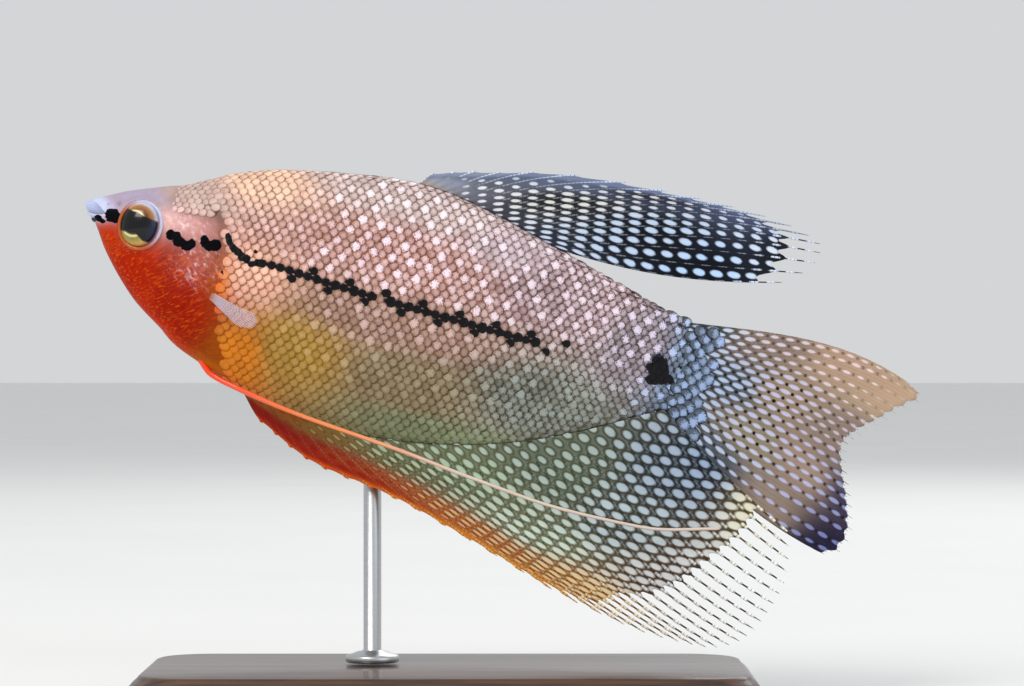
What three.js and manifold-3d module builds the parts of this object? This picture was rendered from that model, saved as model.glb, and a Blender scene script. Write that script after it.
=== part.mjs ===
// A male pearl gourami as a still, life-size display model on a small stand.
// Millimetres, +Z up, the head towards -X and the fish's left side towards -Y.
// The fish is drawn level in its own frame, with x from the tip of the snout to the tail,
// and then pitched head up.
import * as THREE from "three";
import { mergeVertices } from "three/addons/utils/BufferGeometryUtils.js";
import Module from "manifold-3d";

const wasm = await Module();
wasm.setup();

// Driving dimensions
const BODY_LENGTH = 82; // snout to the root of the tail fin
const PITCH_DEG = 15; // head up, as the fish hangs in the water
const GAP = 0.3; // between neighbouring pieces
const MEMBRANE = 0.5; // thickness of a fin between its rays
const RAY = 0.84; // thickness of a fin ray at its root
const TIP = 0.3; // thickness of a fin ray at its tip
const RIDGE_SHARE = 0.36; // most of the way to the next ray that half a ridge takes up
const RIDGE_TAPER = 0.35; // share of its width that a ridge loses towards the tip of its ray
const FREE_END_EDGE = 0.6; // thickness of a free ray's edges as a share of its crest
const ROOT_LINE_STEP = 0.3; // share of the way to the next ray over which the root line's course is taken
// Numbers of facets, along and round where there are two
const FACETS = { lip: [12, 7], nostril: [8, 6], eyeball: [20, 10], rod: 20, neck: 12, course: 24, corner: 6 };
const FAR_ASIDE = 20; // further out to the side than any part of the body
const FAR_UP = 30; // further up or down than any part of the body

// Profiles of the body as [x, value] pairs
const BACK = [
  [0, 0.9], [0.5, 1.55], [1.2, 2], [2.5, 2.65], [4.3, 3.6], [8.7, 5.4], [11.9, 6.7], [14.7, 8.2],
  [18.4, 10], [22.2, 11.5], [26.1, 12.5], [32.7, 13.8], [39, 14.7], [43, 14.9], [46.3, 14.7],
  [50.6, 14], [59.6, 11.9], [68.5, 9.6], [74.4, 8], [78.9, 6.9], [BODY_LENGTH, 6.4],
];
const BELLY = [
  [0, -0.5], [0.6, -0.9], [1.2, -1.3], [1.9, -2.2], [3.5, -4.5], [6.6, -7.9], [9.3, -10.3],
  [13.5, -13.2], [19.2, -16.1], [26, -18.3], [34.7, -19.7], [41.8, -19.9], [48.7, -19.3], [55.6, -17.9],
  [62.2, -15.9], [68.6, -13.2], [74.7, -10], [79.1, -7.4], [BODY_LENGTH, -5.9],
];
const HALF_WIDTH = [
  [0, 0.75], [1, 1.45], [2.5, 2.1], [5, 3], [8, 4], [12, 5], [16, 5.7], [20, 5.8], [26, 6.2], [34, 6.2],
  [42, 5.8], [50, 5.1], [58, 4.2], [66, 3.2], [74, 2.2], [BODY_LENGTH, 1.2],
];
const WIDEST_AT = [
  [0, 0], [5, -0.6], [12, -1.8], [20, -2.6], [34, -3], [50, -2], [66, -0.8], [BODY_LENGTH, 0.3],
];
// How quickly the flank turns in towards the back and towards the belly
const BACK_TURN = 0.94;
const BELLY_TURN = [[0, 0.95], [14, 1], [30, 1.15], [60, 1.15], [BODY_LENGTH, 1]];
const RINGS = 44;
const RING_POINTS = 32;
const RING_CROWDING = 1.22; // above 1, the rings lie closer together at the head
const SNOUT_GROWTH = 0.25; // share of a growth of the body that its front end moves by
const THINNEST = 0.1; // least reach of a cross-section from its middle

// Head
const EYE = { x: 7.7, z: -0.3, wide: 2.85, tall: 3.15, depth: 1.95, sunk: 1.1, turnDeg: 14 };
const EYE_RIM = { radius: 0.36, outside: 0.6, sunk: 0.1, steps: 22, sides: 6 };
const UPPER_LIP = { corner: [2.7, 1.6, -0.1], front: [0.35, 0, 0.55], radius: 0.8, thin: 0.35 };
const LOWER_LIP = { corner: [2.8, 1.5, -0.8], front: [0.95, 0, -1.1], radius: 0.6, thin: 0.3 };
// Where a lip bends, as a share of the way from the corner of the mouth to its front, and how thick it is
const LIP_BEND = { forward: 0.65, inward: 0.22, up: 0.6, at: 0.3, thickness: 0.85 };
const CLEFT = { back: 2.6, front: -1.5, z: -0.4, height: 0.3, halfWidth: 2.6, slope: -0.04 };
const NOSTRILS = [{ x: 2.6, z: 1.35, radius: 0.26 }, { x: 4.1, z: 1.75, radius: 0.34 }];
const NOSTRIL_PROUD = 0.02;
// Edge of the gill cover from its upper front corner backwards and round
const GILL_FRONT = [[14.8, -11.2], [12.6, -9.3], [11.6, -5.2], [11.9, -1.3], [12.3, 2.2], [14.8, 4.1]];
const GILL_REAR = [[17.3, 3.7], [18.5, 1.8], [19, -1.7], [18.6, -4.2], [17.6, -6.5], [16.4, -9.8]];
const GILL = { proud: 0.3, deep: 0.8, fromMiddle: 1, samples: 28 };
const NAPE = [[18.9, 30], [18.1, 8]]; // from above the head down to the gill cover
const THROAT = [[15.9, -13], [15.7, -30]];
const CHEEK_GROOVE = {
  path: [[9.4, -4.6], [10.1, -6.8], [11.2, -9], [12.6, -10.9]], radius: 0.3, proud: 0.05, steps: 6, sides: 5,
};
const NECK_GAP = 0.345; // along x, as the neck line slants
const STALK_FROM = 68; // where the trunk ends and the stalk of the tail begins

// Fins. A tip table holds [u, x, z], with u from the first ray to the last. A fin bends sideways by `sway.by`
// at `sway.over` behind x = `sway.from`.
const DORSAL = {
  rays: 18, rows: 5, freeRows: 1, ridge: 0.3, turn: -1, from: 42, to: 62,
  tips: [
    [0, 43.6, 16.6], [0.06, 46.3, 17.6], [0.12, 49, 18.4], [0.18, 52.5, 19.2], [0.24, 57, 20.4],
    [0.29, 61.8, 21.3], [0.34, 67.3, 22], [0.4, 73.4, 22.4], [0.47, 79, 22.6], [0.54, 84.5, 22.7],
    [0.61, 89.5, 22.5], [0.68, 93.3, 21.9], [0.76, 96, 21], [0.84, 96.4, 19.4], [0.92, 95.4, 17.2],
    [1, 92.4, 14.6],
  ],
  leave: [[0, 46], [0.15, 38], [0.3, 31], [0.5, 25], [0.76, 18], [0.88, 11], [1, -3]],
  arrive: [[0, 34], [0.15, 27], [0.3, 16], [0.5, 8], [0.65, 3], [0.8, 3], [1, 15]],
  membrane: [[0, 0.72], [0.25, 0.84], [0.5, 0.92], [0.75, 0.86], [1, 0.84]],
  pull: [0.4, 0.36], rootThickness: 1.3, sway: { from: 60, over: 36, by: 1.6 },
};
const ANAL = {
  rays: 28, rows: 5, freeRows: 2, ridge: 0.3, turn: 1, from: 26.6, to: 81,
  tips: [
    [0, 30, -21.6], [0.1, 38.5, -25.2], [0.2, 50, -26.9], [0.3, 63, -30.2], [0.4, 77, -34], [0.5, 88, -35.5],
    [0.6, 95, -35.2], [0.7, 99.6, -32.8], [0.8, 101.6, -29], [0.9, 102.6, -24.4], [1, 101.4, -19.2],
  ],
  leave: [[0, -46], [0.1, -49], [0.2, -36], [0.3, -32], [0.4, -36], [0.55, -41], [0.9, -42], [1, -38]],
  arrive: [[0, -32], [0.1, -30], [0.2, -22], [0.3, -22], [0.4, -20], [0.5, -15], [0.8, -15], [1, -24]],
  membrane: [[0, 0.9], [0.3, 0.94], [0.4, 0.88], [0.5, 0.76], [0.6, 0.66], [0.8, 0.66], [1, 0.74]],
  pull: [0.36, 0.34], rootThickness: 1.3, sway: { from: 66, over: 36, by: -1.8 },
};
const CAUDAL = {
  rays: 15, rows: 6, freeRows: 1, ridge: 0.32, turn: -1, top: 6.1, bottom: -5.6,
  tips: [
    [0, 112.5, 5.9], [0.07, 114.9, 4.4], [0.16, 112.6, 2.2], [0.27, 110.2, -0.2], [0.38, 107.9, -2.4],
    [0.5, 106.6, -4.6], [0.62, 107.6, -8], [0.75, 109.2, -11.8], [0.88, 110.2, -15.8], [0.95, 109.4, -18.3],
    [1, 107.4, -19.2],
  ],
  leave: [[0, 8], [0.5, -8], [1, -41]],
  arrive: [[0, -20], [0.2, -16], [0.5, -17], [0.8, -20], [1, -12]],
  membrane: [[0, 0.97], [0.5, 0.95], [1, 0.97]],
  pull: [0.36, 0.36], rootThickness: 1.9, sway: { from: BODY_LENGTH, over: 33, by: 1.9 },
};
const PECTORAL = {
  rays: 7, rows: 3, freeRows: 1, ridge: 0.2, turn: -1, x: 19.6, z: -7, rootHeight: 1.7, length: 9.5,
  spreadDeg: 5, outDeg: 46, downDeg: 15, inside: 1.2, longestAt: 0.35, rounding: 0.5, curl: 0.012,
  leaveShare: 0.4, arriveShare: 1.3, pull: [0.33, 0.33], membrane: [[0, 0.94], [1, 0.94]], rootThickness: 1,
};
const PELVIC = {
  // [x, y, z] of the left feeler; the right one bows out round the rod
  left: [[19.6, 0.9, -15.4], [21.8, 1.3, -17.1], [26, 2.6, -18], [34.5, 3.4, -19.2], [48.6, 3.6, -20.3],
    [60, 3.4, -21.5], [71.5, 3.1, -22.3], [82.4, 2.8, -21.9], [92.7, 2.6, -19.4]],
  right: [[19.6, 0.9, -15.4], [21.8, 1.3, -17.1], [26, 3.1, -18], [34.5, 5, -19.2], [46, 5.4, -20.3],
    [60, 4.6, -21.7], [71.5, 4, -22.8], [81.4, 3.6, -22.9], [90.7, 3.4, -21.4]],
  radii: [[0, 0.42], [0.25, 0.3], [1, 0.22]], steps: 22, sides: 6,
};

// Stand
const STAND = {
  length: 84, width: 44, height: 5, corner: 9, bevel: 0.8, clearance: 2.5, centreX: 48,
  rodRadius: 1.2, rodX: 38, rodY: 2.6, footRadius: 3.6, footHeight: 1.4, footEdge: 0.6, footSlope: 0.5,
  footRound: 0.3, rodReach: 14,
};

const radians = THREE.MathUtils.degToRad;

// A smooth curve through [key, value, ...] rows that doesn't overshoot them; value number `column` at a key.
function smooth(rows, key, column = 1) {
  const last = rows.length - 1;
  let i = 0;
  while (i < last - 1 && key > rows[i + 1][0]) i++;
  const slope = (k) => (rows[k + 1][column] - rows[k][column]) / (rows[k + 1][0] - rows[k][0]);
  const tangent = (k) => {
    if (k === 0) return slope(0);
    if (k === last) return slope(last - 1);
    const [before, after] = [slope(k - 1), slope(k)];
    return before * after <= 0 ? 0 : (2 * before * after) / (before + after);
  };
  const span = rows[i + 1][0] - rows[i][0];
  const t = THREE.MathUtils.clamp((key - rows[i][0]) / span, 0, 1);
  const [t2, t3] = [t * t, t * t * t];
  return (
    (2 * t3 - 3 * t2 + 1) * rows[i][column] +
    (t3 - 2 * t2 + t) * span * tangent(i) +
    (3 * t2 - 2 * t3) * rows[i + 1][column] +
    (t3 - t2) * span * tangent(i + 1)
  );
}

// A closed solid for manifold-3d, with its faces turned outwards.
function solidOf(geometry) {
  const bare = geometry.clone();
  bare.deleteAttribute("normal");
  bare.deleteAttribute("uv");
  const merged = mergeVertices(bare, 1e-4);
  const triVerts = new Uint32Array(merged.index.array);
  const build = () =>
    new wasm.Manifold(
      new wasm.Mesh({ numProp: 3, vertProperties: merged.attributes.position.array, triVerts }),
    );
  const made = build();
  if (made.volume() > 0) return made;
  for (let i = 0; i < triVerts.length; i += 3)
    [triVerts[i + 1], triVerts[i + 2]] = [triVerts[i + 2], triVerts[i + 1]];
  return build();
}

// The largest closed body of a solid, as a geometry.
function geometryOf(solid) {
  const [largest] = solid.decompose().sort((a, b) => b.volume() - a.volume());
  const mesh = largest.getMesh();
  const positions = new Float32Array(mesh.numVert * 3);
  for (let i = 0; i < mesh.numVert; i++)
    positions.set(mesh.vertProperties.subarray(i * mesh.numProp, i * mesh.numProp + 3), i * 3);
  return new THREE.BufferGeometry()
    .setAttribute("position", new THREE.BufferAttribute(positions, 3))
    .setIndex(new THREE.BufferAttribute(new Uint32Array(mesh.triVerts), 1));
}

// A closed geometry through rings of points. Each end is closed to its own middle, unless the last ring
// is the first one again.
function ringSolid(rings, joined = false) {
  const count = rings[0].length;
  const positions = rings.flat().flatMap((p) => [p.x, p.y, p.z]);
  const index = [];
  for (let r = 0; r + 1 < rings.length; r++)
    for (let j = 0; j < count; j++) {
      const [a, b] = [r * count + j, r * count + ((j + 1) % count)];
      index.push(a, b, a + count, b, b + count, a + count);
    }
  for (const [r, flip] of joined ? [] : [[0, false], [rings.length - 1, true]]) {
    const middle = rings[r].reduce((sum, p) => sum.add(p), new THREE.Vector3()).divideScalar(count);
    const centre = positions.push(middle.x, middle.y, middle.z) / 3 - 1;
    for (let j = 0; j < count; j++) {
      const [a, b] = [r * count + j, r * count + ((j + 1) % count)];
      index.push(centre, flip ? a : b, flip ? b : a);
    }
  }
  return new THREE.BufferGeometry()
    .setAttribute("position", new THREE.Float32BufferAttribute(positions, 3))
    .setIndex(index);
}

// The body's cross-section at x, grown outwards by `grow`.
function section(x, grow = 0) {
  const widest = smooth(WIDEST_AT, x);
  return {
    widest,
    up: Math.max(smooth(BACK, x) + grow - widest, THINNEST),
    down: Math.max(widest - smooth(BELLY, x) + grow, THINNEST),
    half: Math.max(smooth(HALF_WIDTH, x) + grow, THINNEST),
    bellyTurn: smooth(BELLY_TURN, x),
  };
}

// The whole body as one closed solid, grown outwards by `grow`.
function bodySolid(grow = 0) {
  const rings = [];
  for (let r = 0; r <= RINGS; r++) {
    const x = BODY_LENGTH * (r / RINGS) ** RING_CROWDING;
    const cut = section(x, grow);
    const ring = [];
    for (let j = 0; j < RING_POINTS; j++) {
      const angle = (2 * Math.PI * j) / RING_POINTS;
      const [c, s] = [Math.cos(angle), Math.sin(angle)];
      const turn = s >= 0 ? BACK_TURN : cut.bellyTurn;
      const y = cut.half * Math.sign(c) * Math.abs(c) ** turn;
      const z = cut.widest + (s >= 0 ? cut.up : cut.down) * s;
      const endGrowth = r === 0 ? -grow * SNOUT_GROWTH : r === RINGS ? grow : 0;
      ring.push(new THREE.Vector3(x + endGrowth, Math.abs(c) < 1e-9 ? 0 : y, z));
    }
    rings.push(ring);
  }
  return solidOf(ringSolid(rings));
}

// Distance of the flank from the middle plane at x and z.
function flank(x, z) {
  const cut = section(x);
  const share = z >= cut.widest ? (z - cut.widest) / cut.up : (cut.widest - z) / cut.down;
  const turn = z >= cut.widest ? BACK_TURN : cut.bellyTurn;
  return cut.half * Math.sqrt(Math.max(0, 1 - share * share)) ** turn;
}

// A prism with a side-view outline of [x, z] points, from y = low to y = high.
function prism(outline, low, high) {
  const shape = new THREE.Shape(outline.map(([x, z]) => new THREE.Vector2(x, z)));
  const geometry = new THREE.ExtrudeGeometry(shape, { depth: high - low, bevelEnabled: false });
  return solidOf(geometry.rotateX(Math.PI / 2).translate(0, high, 0));
}

// Points along a smooth curve through [x, z] points.
function alongCurve(points, samples, closed = false) {
  const curve = new THREE.CatmullRomCurve3(
    points.map(([x, z]) => new THREE.Vector3(x, 0, z)), closed, "centripetal",
  );
  return curve.getSpacedPoints(samples).slice(0, closed ? -1 : undefined).map((p) => [p.x, p.z]);
}

// A closed outline moved outwards by `distance`; the outline runs anticlockwise in x and z.
function movedOut(outline, distance) {
  const count = outline.length;
  return outline.map(([x, z], i) => {
    const [bx, bz] = outline[(i + count - 1) % count];
    const [ax, az] = outline[(i + 1) % count];
    const length = Math.hypot(ax - bx, az - bz);
    return [x + ((az - bz) / length) * distance, z - ((ax - bx) / length) * distance];
  });
}

// A round tube through points whose radius goes from the first value to the last.
function taperedTube(points, radii, steps, sides) {
  const curve = new THREE.CatmullRomCurve3(points.map((p) => new THREE.Vector3(...p)));
  const frames = curve.computeFrenetFrames(steps);
  const rings = [];
  for (let i = 0; i <= steps; i++) {
    const share = i / steps;
    const centre = curve.getPointAt(share);
    const radius = smooth(radii, share);
    const ring = [];
    for (let j = 0; j < sides; j++) {
      const angle = (2 * Math.PI * j) / sides;
      ring.push(
        centre.clone()
          .addScaledVector(frames.normals[i], radius * Math.cos(angle))
          .addScaledVector(frames.binormals[i], radius * Math.sin(angle)),
      );
    }
    rings.push(ring);
  }
  return solidOf(ringSolid(rings));
}

// A lip: a roll that runs from one corner of the mouth round the front to the other.
function lip({ corner: [x, y, z], front, radius, thin }) {
  const { forward, inward, up, at, thickness } = LIP_BEND;
  const bend = (side) => [
    THREE.MathUtils.lerp(x, front[0], forward),
    side * y * (1 - inward),
    THREE.MathUtils.lerp(z, front[2], up),
  ];
  const path = [[x, y, z], bend(1), front, bend(-1), [x, -y, z]];
  const bent = radius * thickness;
  const radii = [[0, thin], [at, bent], [0.5, radius], [1 - at, bent], [1, thin]];
  return taperedTube(path, radii, ...FACETS.lip);
}

// An eyeball on one side, grown by `grow`.
function eyeball(side, grow = 0) {
  const { x, z, wide, tall, depth, sunk, turnDeg } = EYE;
  const ball = new THREE.SphereGeometry(1, ...FACETS.eyeball).rotateX(Math.PI / 2);
  ball.scale(wide + grow, depth + grow, tall + grow).rotateZ(side * radians(turnDeg));
  return solidOf(ball.translate(x, side * (flank(x, z) - sunk), z));
}

// The raised ring round an eye, which follows the cheek.
function eyeRim(side) {
  const { x, z, wide, tall } = EYE;
  const { radius, outside, sunk, steps, sides } = EYE_RIM;
  const rings = [];
  for (let i = 0; i <= steps; i++) {
    const angle = (2 * Math.PI * i) / steps;
    const ring = [];
    for (let j = 0; j < sides; j++) {
      const turn = (2 * Math.PI * j) / sides;
      const reach = GAP + radius * (outside + Math.cos(turn));
      const px = x + (wide + reach) * Math.cos(angle);
      const pz = z + (tall + reach) * Math.sin(angle);
      ring.push(new THREE.Vector3(px, side * (flank(px, pz) - sunk) + radius * Math.sin(turn), pz));
    }
    rings.push(ring);
  }
  return solidOf(ringSolid(rings, true));
}

// The outline of a gill cover, anticlockwise
const gillOutline = alongCurve([...GILL_FRONT, ...GILL_REAR].reverse(), GILL.samples, true);

// A prism through one gill cover, grown by `grow` all round.
function gillPrism(side, grow) {
  const near = GILL.fromMiddle - grow;
  return prism(movedOut(gillOutline, grow), side < 0 ? -FAR_ASIDE : near, side < 0 ? -near : FAR_ASIDE);
}

// The plate of one gill cover, a little proud of the cheek.
function gillCover(side) {
  return bodySolid(GILL.proud).intersect(gillPrism(side, 0)).subtract(bodySolid(-GILL.deep));
}

// The pocket that a gill cover lies in.
function gillPocket(side) {
  return gillPrism(side, GAP).subtract(bodySolid(-GILL.deep - GAP));
}

// The line between head and trunk, which follows the rear edge of the gill cover.
const neckLine = [...NAPE, ...alongCurve(GILL_REAR, FACETS.neck), ...THROAT];

function headSolid() {
  const front = [[-FAR_UP, -FAR_UP], [-FAR_UP, FAR_UP], ...neckLine];
  let head = bodySolid().intersect(prism(front, -FAR_ASIDE, FAR_ASIDE));
  head = head.add(lip(UPPER_LIP)).add(lip(LOWER_LIP));
  for (const side of [-1, 1]) {
    head = head.add(eyeRim(side));
    const { path, radius: depth, proud, steps, sides } = CHEEK_GROOVE;
    const groove = path.map(([x, z]) => [x, side * (flank(x, z) + proud), z]);
    head = head.subtract(taperedTube(groove, [[0, depth], [1, depth]], steps, sides));
    for (const { x, z, radius } of NOSTRILS) {
      const ball = new THREE.SphereGeometry(radius, ...FACETS.nostril).rotateX(Math.PI / 2);
      head = head.subtract(solidOf(ball.translate(x, side * (flank(x, z) + NOSTRIL_PROUD), z)));
    }
  }
  for (const side of [-1, 1]) head = head.subtract(eyeball(side, GAP)).subtract(gillPocket(side));
  const { back, front: open, z, height, halfWidth, slope } = CLEFT;
  const level = (x) => z - slope * x;
  const cleft = [[open, level(open) + height], [open, level(open) - height], [back, level(back)]];
  return head.subtract(prism(cleft, -halfWidth, halfWidth));
}

function trunkSolid() {
  const start = neckLine.map(([x, z]) => [x + NECK_GAP, z]);
  const outline = [...start, [STALK_FROM, -FAR_UP], [STALK_FROM, FAR_UP]];
  return bodySolid().intersect(prism(outline, -FAR_ASIDE, FAR_ASIDE));
}

function stalkSolid() {
  const start = STALK_FROM + GAP;
  const end = BODY_LENGTH + 1;
  const outline = [[start, -FAR_UP], [end, -FAR_UP], [end, FAR_UP], [start, FAR_UP]];
  return bodySolid().intersect(prism(outline, -FAR_ASIDE, FAR_ASIDE));
}

// One ray of a fin as a curve in the plane of the fin.
function rayCurve(base, tip, leaveDeg, arriveDeg, [startPull, endPull]) {
  const length = base.distanceTo(tip);
  const step = (deg, pull) =>
    new THREE.Vector3(Math.cos(radians(deg)), 0, Math.sin(radians(deg))).multiplyScalar(length * pull);
  return new THREE.CubicBezierCurve3(
    base, base.clone().add(step(leaveDeg, startPull)), tip.clone().sub(step(arriveDeg, endPull)), tip,
  );
}

// Distance from a point to a curve.
function distanceTo(curve, point) {
  const points = curve.getPoints(FACETS.course);
  const nearest = new THREE.Vector3();
  const gaps = points.slice(1).map((end, i) =>
    new THREE.Line3(points[i], end).closestPointToPoint(point, true, nearest).distanceTo(point),
  );
  return Math.min(...gaps);
}

// A fin: rays raised as ridges on one membrane, with their ends free of it. `base` gives the root line at u,
// `rayAt` the curve of a ray at u, and `sway` how far the fin bends sideways at a point.
function finSolid({ rays, rows, freeRows, ridge, turn, membrane, rootThickness }, base, rayAt, sway) {
  const lastRow = rows + freeRows;
  const share = (u, row) => {
    const edge = smooth(membrane, u);
    return row <= rows ? (edge * row) / rows : edge + ((1 - edge) * (row - rows)) / freeRows;
  };
  const curves = Array.from({ length: rays }, (_, ray) => rayAt(ray / (rays - 1)));
  const sheet = [];
  for (let ray = 0; ray < rays; ray++) {
    const u = ray / (rays - 1);
    const curve = curves[ray];
    const beside = curves.filter((_, other) => Math.abs(other - ray) === 1);
    const rootStep = ROOT_LINE_STEP / (rays - 1);
    for (let row = 0; row <= lastRow; row++) {
      const s = share(u, row);
      const middle = curve.getPoint(s);
      const along = curve.getTangent(s);
      const across = new THREE.Vector3(-turn * along.z, 0, turn * along.x);
      const rootLine = base(Math.min(1, u + rootStep)).sub(base(Math.max(0, u - rootStep))).normalize();
      const side = rootLine.lerp(across, Math.min(1, row / 2)).normalize();
      const room = row === 0 ? 1 : Math.min(...beside.map((other) => distanceTo(other, middle)));
      const width = row === lastRow ? TIP / 3 : Math.min(ridge * (1 - RIDGE_TAPER * s), RIDGE_SHARE * room);
      const root = Math.max(0, 1 - row / 2) * (rootThickness - RAY);
      const crest = (THREE.MathUtils.lerp(RAY, 1.5 * TIP, s) + root) / 2;
      const valley = (row > rows ? crest * FREE_END_EDGE : MEMBRANE / 2) + root / 2;
      for (const k of [-1, 0, 1]) {
        const point = middle.clone().addScaledVector(side, k * width);
        const half = row === lastRow ? TIP / 2 : k === 0 ? crest : Math.min(valley, crest);
        sheet.push({ point, half });
      }
    }
  }
  const at = (ray, row, k) => (ray * (lastRow + 1) + row) * 3 + k;
  const cells = [];
  for (let ray = 0; ray < rays; ray++) {
    for (let row = 0; row < lastRow; row++)
      for (const k of [0, 1])
        cells.push([at(ray, row, k), at(ray, row, k + 1), at(ray, row + 1, k + 1), at(ray, row + 1, k)]);
    if (ray + 1 < rays)
      for (let row = 0; row < rows; row++)
        cells.push([at(ray, row, 2), at(ray + 1, row, 0), at(ray + 1, row + 1, 0), at(ray, row + 1, 2)]);
  }
  return sheetSolid(sheet, cells, sway);
}

// A sheet of four-sided cells thickened to both sides, split alike on both faces.
function sheetSolid(sheet, cells, sway) {
  const positions = [];
  for (const face of [-1, 1])
    for (const { point, half } of sheet)
      positions.push(point.x, point.y + sway(point) + face * half, point.z);
  const back = sheet.length;
  const index = [];
  const open = new Map();
  for (const cell of cells) {
    const [a, b, c, d] = cell;
    for (const [p, q, r] of [[a, b, c], [a, c, d]]) {
      index.push(p, q, r);
      index.push(back + p, back + r, back + q);
    }
    cell.forEach((from, i) => {
      const to = cell[(i + 1) % 4];
      if (!open.delete(`${to} ${from}`)) open.set(`${from} ${to}`, [from, to]);
    });
  }
  for (const [from, to] of open.values()) {
    index.push(to, from, back + from);
    index.push(to, back + from, back + to);
  }
  return solidOf(
    new THREE.BufferGeometry()
      .setAttribute("position", new THREE.Float32BufferAttribute(positions, 3))
      .setIndex(index),
  );
}

const tipOf = ({ tips }, u) => new THREE.Vector3(smooth(tips, u, 1), 0, smooth(tips, u, 2));

// A fin in the middle plane.
function medianFin(fin, base) {
  const rayAt = (u) =>
    rayCurve(base(u), tipOf(fin, u), smooth(fin.leave, u), smooth(fin.arrive, u), fin.pull);
  const sway = ({ x }) => fin.sway.by * Math.max(0, (x - fin.sway.from) / fin.sway.over) ** 2;
  return finSolid(fin, base, rayAt, sway);
}

function dorsalFin() {
  return medianFin(DORSAL, (u) => {
    const x = THREE.MathUtils.lerp(DORSAL.from, DORSAL.to, u);
    return new THREE.Vector3(x, 0, smooth(BACK, x) + GAP);
  });
}

function analFin() {
  return medianFin(ANAL, (u) => {
    const x = THREE.MathUtils.lerp(ANAL.from, ANAL.to, u);
    return new THREE.Vector3(x, 0, smooth(BELLY, x) - GAP);
  });
}

function caudalFin() {
  const height = (u) => THREE.MathUtils.lerp(CAUDAL.top, CAUDAL.bottom, u);
  return medianFin(CAUDAL, (u) => new THREE.Vector3(BODY_LENGTH + GAP, 0, height(u)));
}

// A pectoral fin: a small fan that stands off the flank just behind the gill cover.
function pectoralFin(side) {
  const { x, z, rootHeight, length, spreadDeg, outDeg, downDeg, inside } = PECTORAL;
  const { longestAt, rounding, curl, leaveShare, arriveShare, pull } = PECTORAL;
  const base = (u) => new THREE.Vector3(-inside, 0, rootHeight * (0.5 - u));
  const rayAt = (u) => {
    const angle = spreadDeg * (1 - 2 * u);
    const reach = length * (1 - rounding * (u - longestAt) ** 2);
    const rise = reach * Math.sin(radians(angle)) + rootHeight * (0.5 - u);
    const tip = new THREE.Vector3(reach * Math.cos(radians(angle)), 0, rise);
    return rayCurve(base(u), tip, angle * leaveShare, angle * arriveShare, pull);
  };
  const fan = finSolid(PECTORAL, base, rayAt, (point) => -curl * point.x * point.x);
  const place = new THREE.Matrix4()
    .makeTranslation(x, side * flank(x, z), z)
    .multiply(new THREE.Matrix4().makeRotationZ(side * radians(outDeg)))
    .multiply(new THREE.Matrix4().makeRotationY(radians(downDeg)))
    .multiply(new THREE.Matrix4().makeScale(1, side, 1));
  const cover = bodySolid(GILL.proud + GAP).intersect(gillPrism(side, GAP));
  return solidOf(geometryOf(fan).applyMatrix4(place)).subtract(bodySolid(GAP)).subtract(cover);
}

// A pelvic fin: one long feeler.
function pelvicFin(side, path) {
  const points = path.map(([x, y, z]) => [x, side * y, z]);
  return taperedTube(points, PELVIC.radii, PELVIC.steps, PELVIC.sides).subtract(bodySolid(GAP));
}

const pitch = new THREE.Matrix4().makeRotationY(radians(PITCH_DEG));

function roundedBase() {
  const { length, width, corner, height, bevel } = STAND;
  const [x, y] = [length / 2 - bevel, width / 2 - bevel];
  const shape = new THREE.Shape()
    .moveTo(-x + corner, -y).lineTo(x - corner, -y).absarc(x - corner, -y + corner, corner, -Math.PI / 2, 0)
    .lineTo(x, y - corner).absarc(x - corner, y - corner, corner, 0, Math.PI / 2)
    .lineTo(-x + corner, y).absarc(-x + corner, y - corner, corner, Math.PI / 2, Math.PI)
    .lineTo(-x, -y + corner).absarc(-x + corner, -y + corner, corner, Math.PI, 1.5 * Math.PI);
  const slab = new THREE.ExtrudeGeometry(shape, {
    depth: height - 2 * bevel, bevelEnabled: true, bevelThickness: bevel, bevelSize: bevel,
    bevelSegments: 2, curveSegments: FACETS.corner,
  });
  return solidOf(slab.translate(0, 0, bevel));
}

// The rod, from its foot on the base up to the belly, in the finished frame with the fish's lift given.
function rodSolid(lift) {
  const { rodRadius, rodX, rodY, footRadius, footHeight, footEdge, footSlope, footRound, rodReach } = STAND;
  const belly = new THREE.Vector3(rodX, 0, smooth(BELLY, rodX)).applyMatrix4(pitch);
  const foot = STAND.height + GAP;
  const top = lift + belly.z + rodReach;
  const profile = [
    [0, foot], [footRadius, foot], [footRadius, foot + footHeight * footEdge],
    [footRadius - footSlope, foot + footHeight], [rodRadius, foot + footHeight + footRound],
    [rodRadius, top], [0, top],
  ].map(([radius, z]) => new THREE.Vector2(radius, z));
  const rod = new THREE.LatheGeometry(profile, FACETS.rod).rotateX(Math.PI / 2).translate(rodX, rodY, 0);
  const body = solidOf(geometryOf(bodySolid(GAP)).applyMatrix4(pitch).translate(0, 0, lift));
  const parts = solidOf(rod).subtract(body).decompose();
  return parts.sort((a, b) => a.boundingBox().min[2] - b.boundingBox().min[2])[0];
}

const flesh = (color, roughness) => new THREE.MeshStandardMaterial({ color, roughness, metalness: 0 });
const MATERIALS = {
  head: flesh(0xd9763f, 0.4),
  gillCover: flesh(0xd85a24, 0.35),
  trunk: flesh(0xc39a86, 0.4),
  stalk: flesh(0xa8a6a2, 0.4),
  eye: flesh(0x8a6a30, 0.12),
  darkFin: flesh(0x6d6a6c, 0.4),
  redFin: flesh(0xb8543a, 0.4),
  tailFin: flesh(0xb9aca4, 0.4),
  clearFin: flesh(0xd8c0b8, 0.35),
  feeler: flesh(0xf07038, 0.4),
  wood: flesh(0x4a2f1f, 0.45),
  steel: new THREE.MeshStandardMaterial({ color: 0xb9bbbd, roughness: 0.3, metalness: 1 }),
};

const fish = new THREE.Group();

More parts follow.
